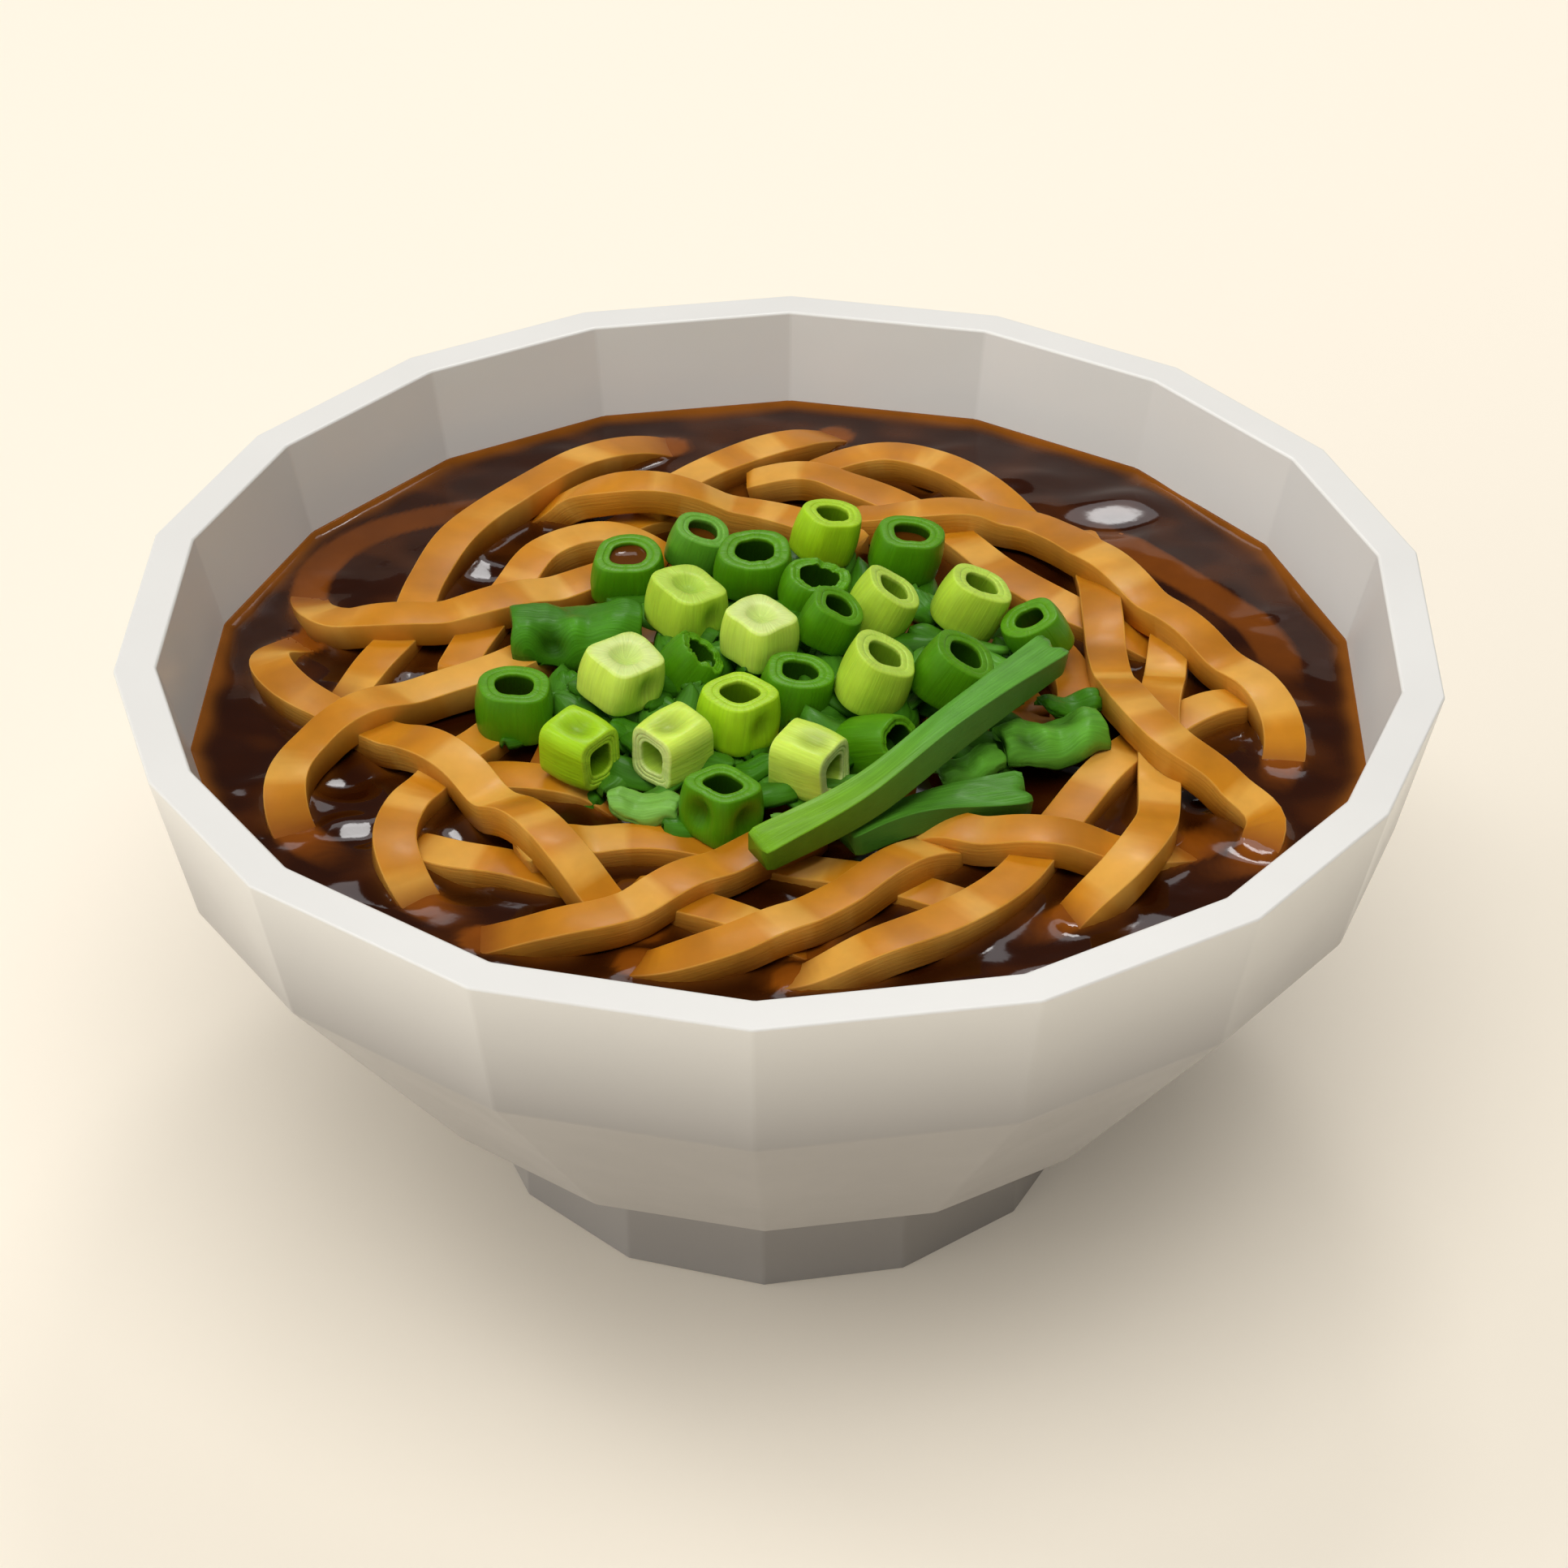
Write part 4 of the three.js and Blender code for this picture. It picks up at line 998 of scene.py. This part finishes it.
def leaf_point(spec, share, sideways, seed):
    """A point in the middle of the leaf's thickness, and the painted shade of the hollow it lies in, which
    below 0 is the painted highlight of a ridge. share is the place along the leaf from 0 to 1, sideways the
    place across it from -1 to 1."""
    length, width = spec["length"], spec["width"]
    most = math.radians(spec["curl"])
    from_middle = abs(2 * share - 1)
    x = (share - 0.5) * length + 0.5 * wobble(sideways * 3, share * 2, 0, seed) * from_middle ** 6
    cut_in = abs(spec["slant"]) * max(-sideways, 0)
    x += cut_in * ((1 - share) if spec["slant"] > 0 else -share)
    ripple = spec["wave"] * math.sin(2.6 * math.pi * share + 0.7)
    crease = -0.35 * math.exp(-(sideways / 0.12) ** 2)
    rumple = spec["rumple"] * (wobble(x / 3.2, sideways * 2.2, 0, seed)
                               + 0.5 * wobble(x / 1.5, sideways * 4.5, 0, seed))
    curl = most * sideways
    widest = math.sin(min(most, math.pi / 2))
    narrow = 1 - 0.25 * from_middle ** 3
    y = math.sin(curl) / widest * width / 2 * narrow + 0.5 * rumple
    z = ripple - spec["arch"] * (1 - math.cos(curl)) / (1 - math.cos(most)) + crease + rumple
    hollow_shade = 0.0
    for at_share, at_side, size, depth in spec["hollows"]:
        gap = ((share - at_share) * length) ** 2 + ((sideways - at_side) * width * 0.6) ** 2
        push = math.exp(-gap / size ** 2)
        y -= math.sin(curl) * depth * push
        z -= math.cos(curl) * depth * push
        hollow_shade += (depth if depth > 0 else 0.9 * depth) * push
    return x, y, z, hollow_shade


def make_leaf(name, spec, materials, seed):
    """A thin wavy leaf, finer than its solid, with ragged ends and a crease down its middle."""
    steps_along, steps_across = 48, 24
    base = np.array(LEAF_COLOURS[spec["green"]])
    rings, colours, grains = [], [], []
    for step in range(steps_along + 1):
        over, under, tone_over, tone_under, grain_over = [], [], [], [], []
        for line in range(steps_across + 1):
            sideways = 2 * line / steps_across - 1
            x, y, z, hollow_shade = leaf_point(spec, step / steps_along, sideways, seed)
            thick = 0.38 * (1 - 0.6 * abs(sideways) ** 6)
            over.append((x, y, z + thick))
            under.append((x, y, z - thick))
            light = 0.5 + 0.5 * wobble(sideways * 6, x / 14, 0, seed + 3)
            # Painted shade in hollows, and painted highlight on ridges where the value is below 0.
            tone_over.append(mix(base, base * 1.7, 0.5 * light) * (1 - 0.4 * min(hollow_shade, 1.4)))
            tone_under.append(base * 0.8)
            grain_over.append((y * 2.2, x, seed * 7.7))
        rings.append(over + under[::-1])
        colours.append(tone_over + tone_under[::-1])
        grains.append(grain_over + grain_over[::-1])
    shape = Shape()
    shape.add_loft(*(np.array(rows)[:, ::-1] for rows in (rings, colours, grains)))
    shape.set_down(spec["at"], Matrix.Rotation(math.radians(spec["heading"]), 4, "Z"))
    piece = shape.make("torn_" + name, materials)
    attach(piece, "root")
    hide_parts(name)


# ------------------------------------------------------------------ slivers between the stalks

SCRAPS = 220
SCRAP_LEVEL = 4.4                   # of those at SCRAP_PLACES, above the gravy
# x and y of slivers that fill the larger gaps, ahead of those strewn round the stalks.
SCRAP_PLACES = [(29.8, -15.9), (28, -20.5), (32, -12), (30, -5), (34, -16), (-24, 7.5), (-18, -30), (4, -33)]


def add_scrap(shape, place, length, width, curl, base, seed):
    """One curled sliver of leaf with round ends."""
    steps_along, steps_across = 12, 8
    rings, tones, grains = [], [], []
    for step in range(steps_along + 1):
        share = step / steps_along
        narrow = math.sqrt(max(1 - abs(2 * share - 1) ** 2.5, 0.05))
        over, under, tone = [], [], []
        for line in range(steps_across + 1):
            bend = curl * (line / 4 - 1)
            y = math.sin(bend) * width / 2 * narrow
            z = -width / 2 * (1 - math.cos(bend)) + 0.5 * wobble(share * 3, line / 4, 0, seed)
            over.append(((share - 0.5) * length, y, z + 0.3))
            under.append(((share - 0.5) * length, y * 0.94, z - 0.3))
            tone.append(np.array(base) * (0.9 + 0.5 * wobble(line / 2, share, 0, seed)))
        rings.append([tuple(place @ Vector(point)) for point in over + under[::-1]][::-1])
        tones.append((tone + tone[::-1])[::-1])
        grains.append([(line * 0.8, share * length, seed * 3.3) for line in range(2 * steps_across + 2)])
    shape.add_loft(np.array(rings), np.array(tones), np.array(grains))


def make_scraps(materials):
    """Slivers of green leaf that fill the gaps low down between the cut stalks."""
    draw = random.Random(11)
    shape = Shape()
    centres = [spec["at"][:2] for spec in STALKS.values()]
    for index in range(len(SCRAP_PLACES) + SCRAPS):
        x, y = centres[index % len(centres)]
        x += draw.uniform(-6, 6) + 0.15 * (3 - x)
        y += draw.uniform(-5, 6) + 0.15 * (-1 - y)
        level = GRAVY_LEVEL + max(mound_height(x, y), 1) + draw.uniform(-1.2, 2.8)
        if index < len(SCRAP_PLACES):
            x, y = SCRAP_PLACES[index]
            level = GRAVY_LEVEL + SCRAP_LEVEL
        length, width = draw.uniform(8, 13), draw.uniform(5, 7.5)
        tilt = Quaternion((1, 0, 0), draw.uniform(-0.6, 0.6)) @ Quaternion((0, 1, 0), draw.uniform(-0.4, 0.4))
        turn = Quaternion((0, 0, 1), draw.uniform(0, 6.28))
        place = Matrix.Translation((x, y, level)) @ (turn @ tilt).to_matrix().to_4x4()
        base = mix(LEAF_COLOURS["dark"], LEAF_COLOURS["mid"], draw.random() ** 2)
        add_scrap(shape, place, length, width, draw.uniform(0.6, 1.5), base, index)
    piece = shape.make("green_slivers", materials)
    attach(piece, "root")


def strip_tones(name, along, sides, seed):
    """Green that changes along the strip, with streaks, and painted shade below and at the sides."""
    shape = (len(along), sides)
    change = smooth_step(0.1, 0.6, along / along[-1])[:, None]
    tone = mix(STRIP_START, STRIP_END, np.broadcast_to(change, shape))
    if name == "strip_short":
        tone = mix(STRIP_END, LEAF_COLOURS["dark"], np.full(shape, 0.45))
    streak = np.array([[0.5 + 0.5 * wobble(side * 0.9, place / 16, 0, seed) for side in range(sides)]
                       for place in along])
    tone = tone * (0.82 + 0.3 * streak)[..., None]
    # Painted shade on the lower face and the sides.
    tone[:, :2 * STRIP_CORNER_POINTS + 2] *= 0.6
    tone[:, -2:] *= 0.6
    return tone


def make_strip(name, spec, materials, seed):
    """A flattened leaf cut lengthways, with a ridge along it, a slight twist and a notched end."""
    route = smooth_route(spec["route"], 1.0)
    along = way_along(route)
    total = along[-1]
    half_width, half_height = spec["width"] / 2, spec["thickness"] / 2
    top_from = 3 * STRIP_CORNER_POINTS

    def section_at(index):
        close = 1 - 0.12 * math.exp(-min(along[index], total - along[index]) / 0.35)
        narrow = 1 + 0.06 * wobble(along[index] / 15, 1, 0, seed)
        outline = band_section(half_width * close * narrow, half_height * close, BAND_CORNER,
                               STRIP_CORNER_POINTS)
        top = np.linspace(outline[top_from - 1], outline[top_from], STRIP_TOP_POINTS + 2)[1:-1]
        ridge_at = half_width * 0.75 * math.sin(along[index] / total * 7 + seed)
        off = np.abs(top[:, 0] - ridge_at) / half_width
        top[:, 1] += 0.42 * np.clip(1 - off, 0, 1) - 0.2
        return np.insert(outline, top_from, top, axis=0)

    def roll_at(index):
        return math.radians(STRIP_ROLL) * math.sin(along[index] / total * 4.4 + seed)

    rings = sweep(route, section_at, roll_at)
    sides = rings.shape[1]
    ahead = (route[-1] - route[-2]) / np.linalg.norm(route[-1] - route[-2])
    notch = np.exp(-((np.linspace(-1, 1, STRIP_TOP_POINTS) - 0.1) / 0.42) ** 2)[:, None]
    for back, depth in ((1, 1.5), (2, 0.9), (3, 0.3)):
        rings[-back, top_from:top_from + STRIP_TOP_POINTS] -= depth * notch * ahead
    shape = Shape()
    shape.add_loft(rings, strip_tones(name, along, sides, seed),
                   band_grain(rings, np.arange(sides) * 0.9, along, 0))
    piece = shape.make("cut_" + name, materials)
    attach(piece, "root")
    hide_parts(name)


# ------------------------------------------------------------------ stage, light and camera


GRAVY_MIDDLE = (0, 0, 0.07)         # in metres


def make_stage():
    """A pale floor that glows a little."""
    half = 2.5
    corners = [(-half, -half, 0), (half, -half, 0), (half, half, 0), (-half, half, 0)]
    mesh = bpy.data.meshes.new("floor")
    mesh.from_pydata(corners, [], [(0, 1, 2, 3)])
    skin = Skin("floor_cream", Base_Color=(*FLOOR_CREAM, 1), Roughness=0.9, Specular_IOR_Level=0.1,
                Emission_Color=(*FLOOR_CREAM, 1), Emission_Strength=FLOOR_GLOW)
    mesh.materials.append(skin.material)
    floor = bpy.data.objects.new("floor", mesh)
    bpy.context.scene.collection.objects.link(floor)


def add_lamp(name, lamp, power, colour, place, aim, axis, glossy):
    """Turns a lamp's given axis along aim. One that isn't glossy leaves no reflection."""
    lamp.energy = power
    lamp.color = colour
    made = bpy.data.objects.new(name, lamp)
    made.location = place
    made.rotation_euler = aim.to_track_quat(axis, "Y").to_euler()
    made.visible_glossy = glossy
    bpy.context.scene.collection.objects.link(made)


def add_area(name, place, size, power, colour):
    """A soft box that looks at the gravy."""
    lamp = bpy.data.lights.new(name, "AREA")
    lamp.shape = "RECTANGLE"
    lamp.size, lamp.size_y = size
    add_lamp(name, lamp, power, colour, place, Vector(GRAVY_MIDDLE) - Vector(place), "-Z", True)


def add_sun(name, azimuth, elevation, spread, power, colour):
    """A distant light with soft shadows. azimuth is where it comes from, 270 the front."""
    lamp = bpy.data.lights.new(name, "SUN")
    lamp.angle = math.radians(spread)
    turn, rise = math.radians(azimuth), math.radians(elevation)
    aim = Vector((math.cos(rise) * math.cos(turn), math.cos(rise) * math.sin(turn), math.sin(rise)))
    add_lamp(name, lamp, power, colour, (0, 0, 0), aim, "Z", False)


def make_light():
    """A wide light from above, two low ones from the left and the front left, and soft boxes at
    the back and the left that are there for the gloss."""
    world = bpy.data.worlds.new("soft_studio")
    world.use_nodes = True
    background = world.node_tree.nodes["Background"]
    background.inputs["Color"].default_value = (1.0, 0.99, 0.975, 1)
    background.inputs["Strength"].default_value = 0.1
    bpy.context.scene.world = world
    add_sun("overhead", 270, 74, 48, 1.93, (1, 0.993, 0.98))
    add_sun("low_left", 180, 20, 40, 0.68, (1, 0.99, 0.97))
    add_sun("low_front_left", 226, 20, 40, 0.42, (1, 0.99, 0.97))
    add_area("wide_soft_box", (0.02, 0.7, 0.93), (0.62, 0.2), 1.1, (0.97, 0.97, 1))
    add_area("small_soft_box", (0.1, 0.62, 1.02), (0.2, 0.12), 1.3, (1, 0.99, 0.98))
    add_area("soft_box_left", (-0.6, 0.1, 0.9), (0.25, 0.25), 1.0, (1, 0.99, 0.97))
    bpy.context.scene.view_settings.view_transform = "Standard"


CAMERA_PITCH = 35.85                # degrees below the horizon
CAMERA_DISTANCE = 0.5185
CAMERA_LENS = 79.8                  # on a 36 mm sensor
CAMERA_TARGET = Vector((0.0005, 0, 0.0575))


def make_camera():
    camera = bpy.data.cameras.new("camera")
    camera.lens = CAMERA_LENS
    camera.sensor_width = 36
    made = bpy.data.objects.new("camera", camera)
    pitch = math.radians(CAMERA_PITCH)
    made.location = CAMERA_TARGET + CAMERA_DISTANCE * Vector((0, -math.cos(pitch), math.sin(pitch)))
    made.rotation_euler = (math.pi / 2 - pitch, 0, 0)
    bpy.context.scene.collection.objects.link(made)
    bpy.context.scene.camera = made


# ------------------------------------------------------------------ the whole dish

make_camera()
make_light()
make_stage()

onion_skin = toned_material(
    "onion_skin", (1.6, 0.16, 1.0), 0.08, 0.25, 0.0004, Roughness=0.38, Coat_Roughness=0.2,
    Subsurface_Weight=0.08, Subsurface_Scale=0.002)
leaf_skin = toned_material(
    "leaf_skin", (1.8, 0.12, 1.0), 0.12, 0.35, 0.0004, Roughness=0.4, Coat_Roughness=0.2)
noodle_skin = toned_material(
    "noodle_skin", (0.7, 0.12, 1.0), 0.05, 0.2, 0.0005, Roughness=0.42, Coat_Roughness=0.16,
    Subsurface_Weight=0.1, Subsurface_Scale=0.003)
gravy_skin = gravy_material()

make_bowl(glaze_material())
noodles_laid = lay_noodles()
make_noodles(noodles_laid, [noodle_skin, gravy_skin])
make_gravy(noodles_laid, gravy_skin)

for number, (node, facts) in enumerate(STALKS.items(), start=101):
    piece = make_stalk(node, facts, [onion_skin, gravy_skin], number)
for number, (node, facts) in enumerate(LEAVES.items(), start=201):
    make_leaf(node, facts, [leaf_skin], number)
for number, (node, facts) in enumerate(STRIPS.items(), start=301):
    make_strip(node, facts, [leaf_skin], number)
make_scraps([leaf_skin])
